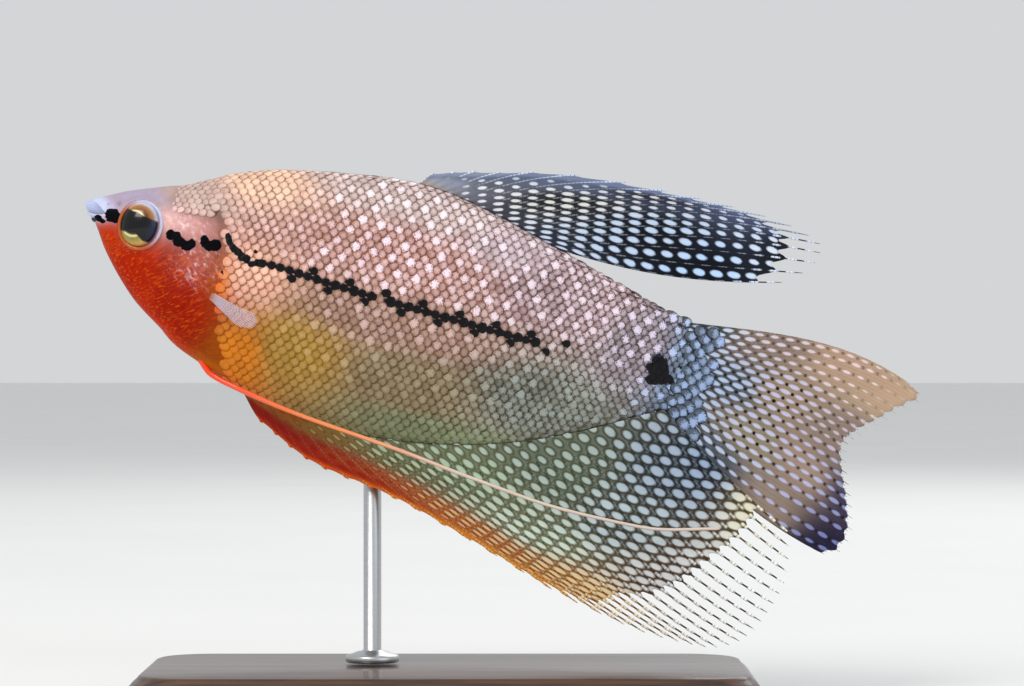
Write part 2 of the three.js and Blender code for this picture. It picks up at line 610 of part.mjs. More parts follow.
function place(group, name, solid, material) {
  const mesh = new THREE.Mesh(geometryOf(solid), material);
  mesh.name = name;
  group.add(mesh);
  return mesh;
}

place(fish, "head", headSolid(), MATERIALS.head);
place(fish, "trunk", trunkSolid(), MATERIALS.trunk);
place(fish, "tail_stalk", stalkSolid(), MATERIALS.stalk);
place(fish, "dorsal_fin", dorsalFin(), MATERIALS.darkFin);
place(fish, "anal_fin", analFin(), MATERIALS.redFin);
place(fish, "caudal_fin", caudalFin(), MATERIALS.tailFin);
for (const [side, word] of [[-1, "left"], [1, "right"]]) {
  place(fish, `eye_${word}`, eyeball(side), MATERIALS.eye);
  place(fish, `gill_cover_${word}`, gillCover(side), MATERIALS.gillCover);
  place(fish, `pectoral_fin_${word}`, pectoralFin(side), MATERIALS.clearFin);
  place(fish, `pelvic_fin_${word}`, pelvicFin(side, PELVIC[word]), MATERIALS.feeler);
}

// The pitched fish hangs just clear of the base, and the part's origin is the middle of its underside.
fish.applyMatrix4(pitch);
fish.updateMatrixWorld(true);
const hanging = new THREE.Box3().setFromObject(fish, true);
const lift = STAND.height + STAND.clearance - hanging.min.z;
fish.position.z += lift;

const model = new THREE.Group();
model.add(fish);
place(model, "stand_base", roundedBase(), MATERIALS.wood).position.x = STAND.centreX;
place(model, "stand_rod", rodSolid(lift), MATERIALS.steel);
model.position.x = -(hanging.min.x + hanging.max.x) / 2;

export default model;
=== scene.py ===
"""A male pearl gourami at life size on a display stand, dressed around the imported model.

The fish is laid out in its own level frame in millimetres, x from the snout to the root of the
tail fin and z up, and is turned and lifted into the row frame when a mesh is made.
"""

import logging
import math
from dataclasses import dataclass, field
from enum import Enum

import bpy
import numpy as np
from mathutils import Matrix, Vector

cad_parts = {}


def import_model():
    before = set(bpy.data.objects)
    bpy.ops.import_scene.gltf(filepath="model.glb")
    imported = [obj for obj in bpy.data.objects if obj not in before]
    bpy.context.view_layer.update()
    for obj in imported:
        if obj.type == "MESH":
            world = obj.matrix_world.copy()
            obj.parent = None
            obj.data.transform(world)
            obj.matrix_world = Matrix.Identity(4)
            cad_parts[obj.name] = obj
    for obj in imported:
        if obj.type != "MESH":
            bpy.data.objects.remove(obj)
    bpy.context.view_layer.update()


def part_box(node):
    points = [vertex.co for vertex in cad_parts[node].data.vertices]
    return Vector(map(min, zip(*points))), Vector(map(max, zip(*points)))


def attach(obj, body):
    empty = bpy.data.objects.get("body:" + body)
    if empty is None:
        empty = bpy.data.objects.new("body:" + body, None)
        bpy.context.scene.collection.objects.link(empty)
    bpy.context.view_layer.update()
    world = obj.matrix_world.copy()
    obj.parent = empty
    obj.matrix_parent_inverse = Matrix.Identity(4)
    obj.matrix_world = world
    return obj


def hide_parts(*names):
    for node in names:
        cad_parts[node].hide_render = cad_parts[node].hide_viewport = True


LOG = logging.getLogger("gourami")
MM = 0.001
PITCH_DEG = 15.0
BODY_LENGTH = 82.0
COAT_DEPTH = 0.24
Array = np.ndarray


class Side(Enum):
    """The two sides of the fish, by the sign of y."""

    LEFT = -1
    RIGHT = 1


class Shading(Enum):
    """How a mesh's faces meet."""

    SMOOTH = True
    FLAT = False


def linear(code: str) -> Array:
    """Turn an sRGB colour, written as "#RRGGBB", to three linear values."""
    srgb = np.array([int(code[i:i + 2], 16) for i in (1, 3, 5)]) / 255
    return np.where(srgb <= 0.04045, srgb / 12.92, ((srgb + 0.055) / 1.055) ** 2.4)


def step(value: Array, low: float, high: float) -> Array:
    """Rise smoothly from 0 where the value is low to 1 where it is high."""
    t = np.clip((value - low) / (high - low), 0, 1)
    return t * t * (3 - 2 * t)


def mixed(first: Array, second: Array, share: Array) -> Array:
    """Blend two colours, or rows of them, with a share of the second for each point."""
    return first + (second - first) * np.asarray(share)[..., None]


def rotated(first: Array, second: Array, angle: float) -> tuple[Array, Array]:
    """Turn pairs of coordinates by an angle in radians, from the first towards the second."""
    c, s = math.cos(angle), math.sin(angle)
    return first * c - second * s, first * s + second * c


def ripple(x: Array, z: Array, seed: float) -> Array:
    """Give a smooth uneven value between -1 and 1 with features about 1 unit across.

    Args:
        x: First place.
        z: Second place.
        seed: Shifts the pattern.

    Returns:
        The value at each point.
    """
    a = np.sin(2.1 * x + 1.7 * seed) * np.sin(1.9 * z + 0.9 * seed)
    b = np.sin(3.3 * x - 2.7 * z + 2.3 * seed) * np.cos(1.3 * x + 3.1 * z + seed)
    return 0.5 * (a + b)


def hump(value: Array, middle: float, width: float) -> Array:
    """Give 1 at the middle and fall off smoothly on both sides."""
    return np.exp(-((value - middle) / width) ** 2)


def average(weights: Array, rows: Array) -> Array:
    """Average rows of numbers by weight.

    Args:
        weights: One weight for each row, in the last axis.
        rows: The rows.

    Returns:
        The average row for each point.
    """
    return weights @ rows / (weights.sum(axis=-1, keepdims=True) + 1e-9)


@dataclass(frozen=True)
class Profile:
    """A smooth curve with no overshoot through rows of a place and its values."""

    rows: tuple

    def at(self, place: Array, column: int = 1) -> Array:
        """Read one column of the curve.

        Args:
            place: Where to read it.
            column: Which value of a row.

        Returns:
            The value at each place.
        """
        table = np.array(self.rows, float)
        knots, values = table[:, 0], table[:, column]
        place = np.asarray(place, float)
        slopes = np.diff(values) / np.diff(knots)
        product = slopes[:-1] * slopes[1:]
        total = np.where(product > 0, slopes[:-1] + slopes[1:], 1)
        inner = np.where(product > 0, 2 * product / total, 0)
        tangents = np.concatenate([slopes[:1], inner, slopes[-1:]])
        i = np.clip(np.searchsorted(knots, place) - 1, 0, len(knots) - 2)
        span = knots[i + 1] - knots[i]
        t = np.clip((place - knots[i]) / span, 0, 1)
        t2, t3 = t * t, t * t * t
        return (
            (2 * t3 - 3 * t2 + 1) * values[i]
            + (t3 - 2 * t2 + t) * span * tangents[i]
            + (3 * t2 - 2 * t3) * values[i + 1]
            + (t3 - t2) * span * tangents[i + 1]
        )


@dataclass(frozen=True)
class Pose:
    """The fish's place in the row frame: its head-up pitch and where its level frame starts."""

    origin: Array
    pitch: float = math.radians(PITCH_DEG)

    @classmethod
    def of_frame(cls, eye: tuple[float, float, float]) -> "Pose":
        """Find the pose from the two eye nodes.

        Args:
            eye: The eyes' place in the fish's own frame, with y at 0.

        Returns:
            The pose.
        """
        corners = [corner for name in ("eye_left", "eye_right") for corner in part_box(name)]
        middle = np.mean([np.array(corner, float) for corner in corners], axis=0)
        level = cls(np.zeros(3))
        return cls(middle - level.placed(np.array([eye]))[0])

    def turned(self, vectors: Array) -> Array:
        """Turn directions from the fish's frame to the row frame.

        Args:
            vectors: Rows of x, y, z.

        Returns:
            The turned rows.
        """
        x, y, z = np.moveaxis(np.asarray(vectors, float), -1, 0)
        x, z = rotated(x, z, -self.pitch)
        return np.stack([x, y, z], axis=-1)

    def placed(self, points: Array) -> Array:
        """Take points in mm in the fish's frame to metres in the row frame."""
        return self.turned(points) * MM + self.origin

    def level(self, points: Array) -> tuple[Array, Array]:
        """Give the place along the fish and the height, in mm, of points in the row frame.

        Args:
            points: Rows of x, y, z in metres.

        Returns:
            The places along and the heights.
        """
        inside = (points - self.origin) / MM
        return rotated(inside[:, 0], inside[:, 2], self.pitch)


@dataclass
class Shape:
    """A mesh in the making: its points in metres, its faces and its named values."""

    points: Array
    faces: list
    values: dict[str, Array] = field(default_factory=dict)

    @staticmethod
    def joined(shapes: list["Shape"]) -> "Shape":
        """Put several shapes in one.

        Args:
            shapes: Shapes with the same named values.

        Returns:
            One shape.
        """
        faces: list = []
        start = 0
        for shape in shapes:
            faces += [tuple(int(v) + start for v in face) for face in shape.faces]
            start += len(shape.points)
        names = shapes[0].values
        values = {name: np.concatenate([shape.values[name] for shape in shapes]) for name in names}
        return Shape(np.concatenate([shape.points for shape in shapes]), faces, values)

    def chosen(self, which: Array) -> "Shape":
        """Keep some of the single points.

        Args:
            which: True for the points to keep.

        Returns:
            A shape with no faces.
        """
        return Shape(self.points[which], [], {key: value[which] for key, value in self.values.items()})

    def mesh(self, name: str, shading: Shading = Shading.SMOOTH) -> bpy.types.Mesh:
        """Make the Blender mesh.

        Args:
            name: The mesh's name.
            shading: Whether the faces shade smooth.

        Returns:
            The mesh, with each named value as a point attribute.
        """
        mesh = bpy.data.meshes.new(name)
        mesh.from_pydata(np.asarray(self.points, float).tolist(), [], [tuple(f) for f in self.faces])
        for key, value in self.values.items():
            store(mesh, key, value)
        mesh.shade_smooth() if shading.value else mesh.shade_flat()
        mesh.update()
        return mesh


def store(mesh: bpy.types.Mesh, name: str, value: Array) -> None:
    """Keep a named value for each point of a mesh.

    Args:
        mesh: The mesh.
        name: The attribute's name.
        value: One number, three numbers or a colour for each point.
    """
    value = np.asarray(value, np.float32)
    if value.ndim == 1:
        mesh.attributes.new(name, "FLOAT", "POINT").data.foreach_set("value", value)
    elif value.shape[1] == 3:
        mesh.attributes.new(name, "FLOAT_VECTOR", "POINT").data.foreach_set("vector", value.ravel())
    else:
        mesh.attributes.new(name, "FLOAT_COLOR", "POINT").data.foreach_set("color", value.ravel())


def stored(mesh: bpy.types.Mesh, name: str) -> Array:
    """Read back a named value.

    Args:
        mesh: The mesh.
        name: The attribute's name.

    Returns:
        A number, or a row of three, for each point.
    """
    found = mesh.attributes[name]
    width, field_name = (3, "vector") if found.data_type == "FLOAT_VECTOR" else (1, "value")
    flat = np.empty(len(found.data) * width)
    found.data.foreach_get(field_name, flat)
    return flat.reshape(-1, 3) if width == 3 else flat


def linked(name: str, data: bpy.types.ID) -> bpy.types.Object:
    """Put a mesh, a lamp or a camera in the scene.

    Args:
        name: The object's name.
        data: What it shows.

    Returns:
        The object.
    """
    thing = bpy.data.objects.new(name, data)
    bpy.context.scene.collection.objects.link(thing)
    return thing


def unit_rows(vectors: Array) -> Array:
    """Give vectors the length 1."""
    return vectors / (np.linalg.norm(vectors, axis=-1, keepdims=True) + 1e-9)


def opaque(colour: Array) -> Array:
    """Add a full alpha to rows of linear colour."""
    return np.concatenate([colour, np.ones((*colour.shape[:-1], 1))], axis=-1)


def grid_faces(rows: int, columns: int, closed: bool) -> list:
    """List the four-sided faces of a grid of points.

    Args:
        rows: How many rows of points.
        columns: How many points in a row.
        closed: Whether the last column meets the first.

    Returns:
        The faces, turned outwards for a ring that runs left round its row's direction.
    """
    faces = []
    for row in range(rows - 1):
        for column in range(columns if closed else columns - 1):
            after = (column + 1) % columns
            a, b = row * columns + column, row * columns + after
            faces.append((a, b, b + columns, a + columns))
    return faces


def closed_faces(rings: int, sides: int) -> list:
    """List the faces of a row of rings with a fan at each end.

    Args:
        rings: How many rings.
        sides: How many points in a ring.

    Returns:
        The faces. The fans meet in two points that follow the points of the rings.
    """
    faces = grid_faces(rings, sides, True)
    first, last = rings * sides, (rings - 1) * sides
    for i in range(sides):
        after = (i + 1) % sides
        faces.append((first, after, i))
        faces.append((first + 1, last + i, last + after))
    return faces


def sheet(middle: Array, away: Array) -> tuple[Array, list]:
    """Make a thin closed sheet about a grid of points.

    Args:
        middle: The grid, as rows and columns of x, y, z.
        away: How far its two faces lie from the grid, as x, y, z for each point.

    Returns:
        The points, of one face and then of the other, and the faces.
    """
    rows, columns = middle.shape[:2]
    count = rows * columns
    points = np.concatenate([(middle + way * away).reshape(-1, 3) for way in (-1, 1)])
    front = grid_faces(rows, columns, False)
    faces = front + [tuple(v + count for v in face[::-1]) for face in front]
    border = [i * columns for i in range(rows)]
    border += [(rows - 1) * columns + j for j in range(1, columns)]
    border += [i * columns + columns - 1 for i in range(rows - 2, -1, -1)]
    border += list(range(columns - 2, 0, -1))
    faces += [(a, b, b + count, a + count) for a, b in zip(border, border[1:] + border[:1])]
    return points, faces


def both_faces(values: dict[str, Array]) -> dict[str, Array]:
    """Give a sheet's two faces the values of its middle."""
    return {key: np.concatenate([value, value]) for key, value in values.items()}


def lengths_along(lines: Array) -> Array:
    """Measure lines of points from their start.

    Args:
        lines: One line of x, y, z, or rows of such lines.

    Returns:
        The length so far at each point.
    """
    steps = np.linalg.norm(np.diff(lines, axis=-2), axis=-1)
    return np.concatenate([np.zeros((*steps.shape[:-1], 1)), np.cumsum(steps, axis=-1)], axis=-1)


def line_edges(lines: int, each: int) -> list:
    """List the edges of lines that have the same number of points."""
    return [(line * each + i, line * each + i + 1) for line in range(lines) for i in range(each - 1)]


class Piece:
    """Makes Blender objects out of meshes and tells the frame about them."""

    @staticmethod
    def add(name: str, mesh: bpy.types.Mesh, material: bpy.types.Material, slot: str,
            replaces: tuple[str, ...] = ()) -> None:
        """Add one finished piece.

        Args:
            name: The piece's name.
            mesh: Its mesh, in the row frame.
            material: Its finish.
            slot: The record's material slot. Not used.
            replaces: The CAD nodes that it stands for.
        """
        mesh.materials.clear()
        mesh.materials.append(material)
        thing = linked(name, mesh)
        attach(thing, "root")
        if replaces:
            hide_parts(*replaces)
        LOG.info("%s: %d faces", name, len(mesh.polygons))


class Nodes:
    """A node tree, built a node at a time."""

    def __init__(self, tree: bpy.types.NodeTree) -> None:
        """Keep the tree."""
        self.tree = tree

    def node(self, kind: str, settings: dict | None = None, **links: object) -> bpy.types.Node:
        """Add a node, with its settings and what feeds it.

        Args:
            kind: The node's type, without the word ShaderNode where it has that.
            settings: Its properties by name.
            links: What feeds an input, by the input's name, or by its number as in i0.

        Returns:
            The node.
        """
        full = kind if kind.startswith(("GeometryNode", "NodeGroup")) else "ShaderNode" + kind
        made = self.tree.nodes.new(full)
        for key, value in (settings or {}).items():
            setattr(made, key, value)
        for key, value in links.items():
            place = int(key[1:]) if key[1:].isdigit() else key.replace("_", " ")
            self.feed(made.inputs[place], value)
        return made

    def feed(self, target: bpy.types.NodeSocket, value: object) -> None:
        """Link a socket to an input, or set the input.

        Args:
            target: The input.
            value: A socket, a node's first output, or a plain value.
        """
        if isinstance(value, bpy.types.Node):
            value = value.outputs[0]
        if isinstance(value, bpy.types.NodeSocket):
            self.tree.links.new(value, target)
        else:
            target.default_value = value

    def math(self, operation: str, first: object, second: object = 0.0, third: object = 0.0
             ) -> bpy.types.NodeSocket:
        """Add one Math node and give its result."""
        return self.node("Math", {"operation": operation}, i0=first, i1=second, i2=third).outputs[0]

    def plus(self, first: object, second: object) -> bpy.types.NodeSocket:
        """Add two values."""
        return self.math("ADD", first, second)

    def minus(self, first: object, second: object) -> bpy.types.NodeSocket:
        """Take the second value from the first."""
        return self.math("SUBTRACT", first, second)

    def times(self, first: object, second: object) -> bpy.types.NodeSocket:
        """Multiply two values."""
        return self.math("MULTIPLY", first, second)

    def length(self, first: object, second: object) -> bpy.types.NodeSocket:
        """Give the length of a line with these two sides."""
        return self.math("SQRT", self.plus(self.times(first, first), self.times(second, second)))


class Paint(Nodes):
    """A material's node tree."""

    def __init__(self, name: str, roughness: float, coat: float = 0.0, ior: float = 1.45,
                 metallic: float = 0.0, coat_roughness: float = 0.08) -> None:
        """Start a material with one Principled shader.

        Args:
            name: The material's name.
            roughness: How rough it is where no node says so.
            coat: How much clear coat lies on it.
            ior: Its index of refraction.
            metallic: 1 for a metal.
            coat_roughness: How rough the clear coat is.
        """
        self.material = bpy.data.materials.new(name)
        self.material.use_nodes = True
        super().__init__(self.material.node_tree)
        self.shader = self.tree.nodes["Principled BSDF"]
        settings = {"Roughness": roughness, "Coat Weight": coat, "IOR": ior, "Metallic": metallic,
                    "Coat Roughness": coat_roughness}
        for key, value in settings.items():
            self.shader.inputs[key].default_value = value

    def blend(self, share: object, first: object, second: object, how: str = "MIX"
              ) -> bpy.types.NodeSocket:
        """Add one Mix node for colours and give its result."""
        made = self.node("Mix", {"data_type": "RGBA", "blend_type": how}, i0=share, i6=first, i7=second)
        return made.outputs[2]

    def fade(self, value: object, low: float, high: float) -> bpy.types.NodeSocket:
        """Add one smooth Map Range node from low to high and give its result."""
        made = self.node("MapRange", {"interpolation_type": "SMOOTHSTEP"}, i0=value, i1=low, i2=high)
        return made.outputs[0]

    def read(self, name: str, output: str = "Fac") -> bpy.types.NodeSocket:
        """Read a named value of the mesh."""
        return self.node("Attribute", {"attribute_name": name}).outputs[output]

    def tint(self, name: str) -> bpy.types.NodeSocket:
        """Read a named colour of the mesh."""
        return self.read(name, "Color")

    def parts(self, name: str) -> list[bpy.types.NodeSocket]:
        """Read a named vector of the mesh and give its three parts."""
        return list(self.node("SeparateXYZ", Vector=self.read(name, "Vector")).outputs)

    def noise(self, size_mm: float, detail: float = 3.0,
              stretch: tuple[float, float, float] = (1, 1, 1), turn_deg: float = 0.0) -> bpy.types.NodeSocket:
        """Add a noise pattern with features of a real size.

        Args:
            size_mm: How wide its features are.
            detail: How many finer layers it has.
            stretch: How much it is squeezed along each axis.
            turn_deg: How far it is turned about the Y axis before that.

        Returns:
            The pattern, from 0 to 1.
        """
        place = self.node("TexCoord").outputs["Object"]
        if turn_deg:
            place = self.node("Mapping", Vector=place, Rotation=(0.0, math.radians(turn_deg), 0.0))
        spread = self.node("Mapping", Vector=place, Scale=stretch)
        return self.node("TexNoise", Vector=spread, Scale=1 / (size_mm * MM), Detail=detail).outputs[0]

    def colour(self, value: object) -> None:
        """Feed the shader's base colour."""
        self.feed(self.shader.inputs["Base Color"], value)

    def marked(self, colour: object) -> bpy.types.NodeSocket:
        """Lay the black marks over a colour, with a narrow blue edge.

        Args:
            colour: The skin's colour.

        Returns:
            The colour with its marks.
        """
        dark = self.read("dark")
        edged = self.blend(self.fade(dark, 0.4, 0.5), colour, four("#26304E"))
        return self.blend(self.fade(dark, 0.46, 0.56), edged, four("#040408"))

    def rough(self, value: object, low: float, high: float) -> None:
        """Feed the roughness with a pattern spread from low to high."""
        made = self.node("MapRange", i0=value, i3=low, i4=high)
        self.feed(self.shader.inputs["Roughness"], made)

    def relief(self, value: object, depth_mm: float, strength: float = 0.6) -> None:
        """Feed the shader's normal with a bump of a real depth."""
        bump = self.node("Bump", Strength=strength, Distance=depth_mm * MM, Height=value)
        self.feed(self.shader.inputs["Normal"], bump)

    def flesh(self, weight: float, depth_mm: float) -> None:
        """Let some light pass below the surface."""
        self.shader.inputs["Subsurface Weight"].default_value = weight
        self.shader.inputs["Subsurface Scale"].default_value = depth_mm * MM


def four(code: str) -> tuple[float, float, float, float]:
    """Give a hex colour as a socket's four linear values."""
    return (*linear(code), 1.0)


class Grove(Nodes):
    """A Geometry Nodes group."""

    def __init__(self, name: str, inputs: dict[str, str], output: str) -> None:
        """Start a group.

        Args:
            name: The group's name.
            inputs: The kind of each input, by the input's name.
            output: The name of the geometry that it gives.
        """
        super().__init__(bpy.data.node_groups.new(name, "GeometryNodeTree"))
        for key, kind in inputs.items():
            self.tree.interface.new_socket(key, in_out="INPUT", socket_type="NodeSocket" + kind)
        self.tree.interface.new_socket(output, in_out="OUTPUT", socket_type="NodeSocketGeometry")
        self.given = self.node("NodeGroupInput").outputs

    def named(self, name: str, kind: str = "FLOAT_VECTOR") -> bpy.types.NodeSocket:
        """Read a named value of the points."""
        return self.node("GeometryNodeInputNamedAttribute", {"data_type": kind}, Name=name).outputs[0]

    def finish(self, geometry: object) -> bpy.types.NodeTree:
        """End the group: make the geometry real and smooth and give it its finish.

        Args:
            geometry: What the group has made.

        Returns:
            The node group.
        """
        real = self.node("GeometryNodeRealizeInstances", Geometry=geometry)
        smooth = self.node("GeometryNodeSetShadeSmooth", i0=real)
        dressed = self.node("GeometryNodeSetMaterial", Geometry=smooth, Material=self.given["Finish"])
        self.feed(self.node("NodeGroupOutput").inputs[0], dressed)
        return self.tree

    @staticmethod
    def grown(shape: Shape, name: str, tree: bpy.types.NodeTree, inputs: dict[str, object],
              edges: list | None = None) -> bpy.types.Mesh:
        """Run a tree on a shape and keep the result as a plain mesh.

        Args:
            shape: What the tree works on.
            name: The new mesh's name.
            tree: The node group.
            inputs: The tree's inputs by name.
            edges: Pairs of points, where the tree follows lines.

        Returns:
            The mesh.
        """
        seed = bpy.data.meshes.new(name + "_seed")
        seed.from_pydata(np.asarray(shape.points, float).tolist(), edges or [], [])
        for key, value in shape.values.items():
            store(seed, key, value)
        thing = linked(name + "_seed", seed)
        modifier = thing.modifiers.new("grow", "NODES")
        modifier.node_group = tree
        ids = {item.name: item.identifier for item in tree.interface.items_tree if item.item_type == "SOCKET"}
        for key, value in inputs.items():
            modifier[ids[key]] = value
        graph = bpy.context.evaluated_depsgraph_get()
        mesh = bpy.data.meshes.new_from_object(thing.evaluated_get(graph), preserve_all_data_layers=True,
                                               depsgraph=graph)
        mesh.name = name
        thing.modifiers.remove(modifier)
        bpy.data.objects.remove(thing)
        bpy.data.meshes.remove(seed)
        return mesh


@dataclass(frozen=True)
class Zone:
    """A part of the coat with its own colours, strongest at its middle."""

    x: float
    z: float
    long: float
    tall: float
    net: str
    scale: str
    pearl: str


@dataclass(frozen=True)
class Blot:
    """A black mark on the skin, longer along one direction."""

    x: float
    z: float
    length: float
    height: float
    tilt_deg: float = 0.0


@dataclass(frozen=True)
class Markings:
    """The colours of the living skin: its zones, the dark lateral stripe and the tail spot."""

    zones: tuple[Zone, ...] = (
        Zone(1.0, 0.6, 2.6, 1.6, "#96A4C2", "#D0DCF4", "#E2EAFA"),
        Zone(6.0, 3.8, 5.0, 2.4, "#8C86A0", "#B4ACC4", "#CCC6DA"),
        Zone(14.0, 6.0, 6.0, 3.6, "#947E76", "#C4AEA6", "#DCC8C0"),
        Zone(22.0, 9.5, 9.0, 4.5, "#8C7060", "#E2BEA6", "#FAE2D0"),
        Zone(42.0, 12.0, 18.0, 4.5, "#76645E", "#BCA8A2", "#F8ECF2"),
        Zone(56.0, 9.0, 8.0, 3.6, "#706064", "#B8A6AC", "#F4E8F2"),
        Zone(40.0, 5.0, 20.0, 5.5, "#74493C", "#B07E6C", "#FAE8F2"),
        Zone(14.0, 1.4, 4.4, 2.0, "#C8908A", "#F8CEC8", "#FEF2F4"),
        Zone(24.0, -3.2, 5.0, 4.0, "#A87054", "#E2B094", "#FCE6DC"),
        Zone(44.0, -4.5, 15.0, 4.0, "#68483A", "#9A7460", "#E6D0CC"),
        Zone(48.0, -11.5, 12.0, 5.0, "#50442C", "#847050", "#BAB498"),
        Zone(53.0, -17.0, 12.0, 2.8, "#4C5238", "#7C8662", "#B4C2A6"),
        Zone(32.0, -11.0, 8.0, 5.4, "#785A1A", "#A8802C", "#D0B478"),
        Zone(19.9, -5.2, 1.8, 3.4, "#A4480C", "#D87420", "#EEA868"),
        Zone(24.5, -13.0, 5.0, 5.0, "#A44E04", "#D07A08", "#E49C28"),
        Zone(15.5, -9.5, 6.0, 6.0, "#A01C00", "#CC2A00", "#E24E0A"),
        Zone(8.0, -6.5, 5.0, 4.0, "#941800", "#B42400", "#D84C0C"),
        Zone(4.0, -3.4, 2.6, 2.4, "#A42404", "#C03808", "#DE7030"),
        Zone(64.0, -9.5, 11.0, 5.5, "#32342A", "#5C5A4A", "#A4B0AA"),
        Zone(63.0, 5.5, 10.0, 5.0, "#4A3634", "#8C7072", "#EEE0EA"),
        Zone(76.0, 1.0, 4.5, 5.0, "#3A3032", "#6C6062", "#D4CCDC"),
        Zone(84.0, -1.0, 6.0, 9.0, "#10161E", "#38444E", "#A4BEE2"),
    )
    blots: tuple[Blot, ...] = (
        Blot(3.7, 0.0, 1.1, 0.9), Blot(4.1, -0.35, 0.8, 0.6), Blot(1.85, -0.85, 0.55, 0.42, -20),
        Blot(2.4, -1.05, 0.5, 0.3, -10), Blot(12.1, -0.5, 0.75, 0.65, -25), Blot(12.9, -0.35, 0.55, 0.5),
        Blot(13.3, -1.05, 0.95, 0.7, -20), Blot(14.4, -1.35, 0.85, 0.65), Blot(15.1, -0.95, 0.55, 0.6),
        Blot(16.7, -0.2, 0.6, 0.85, 20), Blot(17.4, -0.6, 0.65, 0.7), Blot(18.2, -0.3, 0.75, 0.75),
        Blot(19.75, 0.9, 0.42, 0.95, 30), Blot(20.6, -0.05, 0.6, 0.5, -40),
        Blot(21.3, -0.4, 0.55, 0.5, -30), Blot(22.0, -0.85, 0.6, 0.55, -60),
        Blot(20.0, -3.6, 0.2, 0.45, 20), Blot(22.75, -1.0, 0.6, 0.55, -40), Blot(23.5, -1.5, 0.45, 0.4),
        Blot(23.65, 0.2, 0.3, 0.3), Blot(24.4, -1.1, 0.65, 0.5), Blot(79.6, -1.0, 1.15, 2.1, 28),
        Blot(79.7, -1.5, 2.2, 0.85, -20), Blot(78.7, -2.6, 0.8, 0.6),
    )
    stripe: Profile = Profile((
        (19, 1.1), (21, -0.3), (23, -1.1), (26, -0.9), (34, -1.3), (44, -1.6), (64, -1.8), (82, -1.4),
    ))

    def line(self, x: Array) -> Array:
        """Give the height of the lateral line, which starts level on the head."""
        return self.stripe.at(np.maximum(x, 23.0))

    def striped(self, x: Array, column: Array, row: Array, chance: Array) -> Array:
        """Choose the black scales of the lateral stripe, a chain that jogs a row up and down.

        Args:
            x: The scales' places along the fish.
            column: Their columns from the head.
            row: Their rows from the lateral line.
            chance: A random share for each.

        Returns:
            True for a black scale.
        """
        # Gaps are more common near the head, and the chain fades out on the tail stalk.
        broken = np.where(x < 33, 0.12, 0.02) + 0.7 * step(x, 60, 66)
        chain = (row == 0) & (chance > broken)
        upper = (row == 1) & (column % 8 == 3) & (x > 27)
        lower = (row == -1) & (column % 8 == 7) & (x > 31)
        return (chain | ((upper | lower) & (chance > broken))) & (x > 20.8) & (x < 70)

    def colours(self, x: Array, z: Array) -> tuple[Array, Array, Array]:
        """Blend the zones' colours.

        Args:
            x: Places along the fish.
            z: Heights in the fish's frame.

        Returns:
            Linear rows for the dark net, the scale's own colour and its pearl.
        """
        x, z = np.asarray(x, float)[..., None], np.asarray(z, float)[..., None]
        ovals = np.array([(zone.x, zone.z, zone.long, zone.tall) for zone in self.zones]).T
        far = ((x - ovals[0]) / ovals[2]) ** 2 + ((z - ovals[1]) / ovals[3]) ** 2
        rows = [[*linear(zone.net), *linear(zone.scale), *linear(zone.pearl)] for zone in self.zones]
        found = average(1 / (0.12 + far) ** 2.2, np.array(rows))
        return found[..., :3], found[..., 3:6], found[..., 6:]

    def dark(self, x: Array, z: Array) -> Array:
        """Say how black the skin is at the mask, the blots behind the eye and the tail spot.

        Args:
            x: Places along the fish.
            z: Heights in the fish's frame.

        Returns:
            A value that is 0.5 at the edge of the black and grows inwards.
        """
        x, z = np.asarray(x, float), np.asarray(z, float)
        # The edge wavers in broad and in fine waves.
        waver = 0.16 * ripple(x * 1.4, z * 2.2, 3.0) + 0.12 * ripple(x * 4.2, z * 4.6, 8.0)
        found = np.zeros(np.broadcast(x, z).shape)
        for blot in self.blots:
            along, over = rotated(x - blot.x, z - blot.z, -math.radians(blot.tilt_deg))
            reach = np.hypot(along / blot.length, over / blot.height)
            found = np.maximum(found, np.clip(1.3 - 0.8 * (reach + waver), 0, 1))
        return found


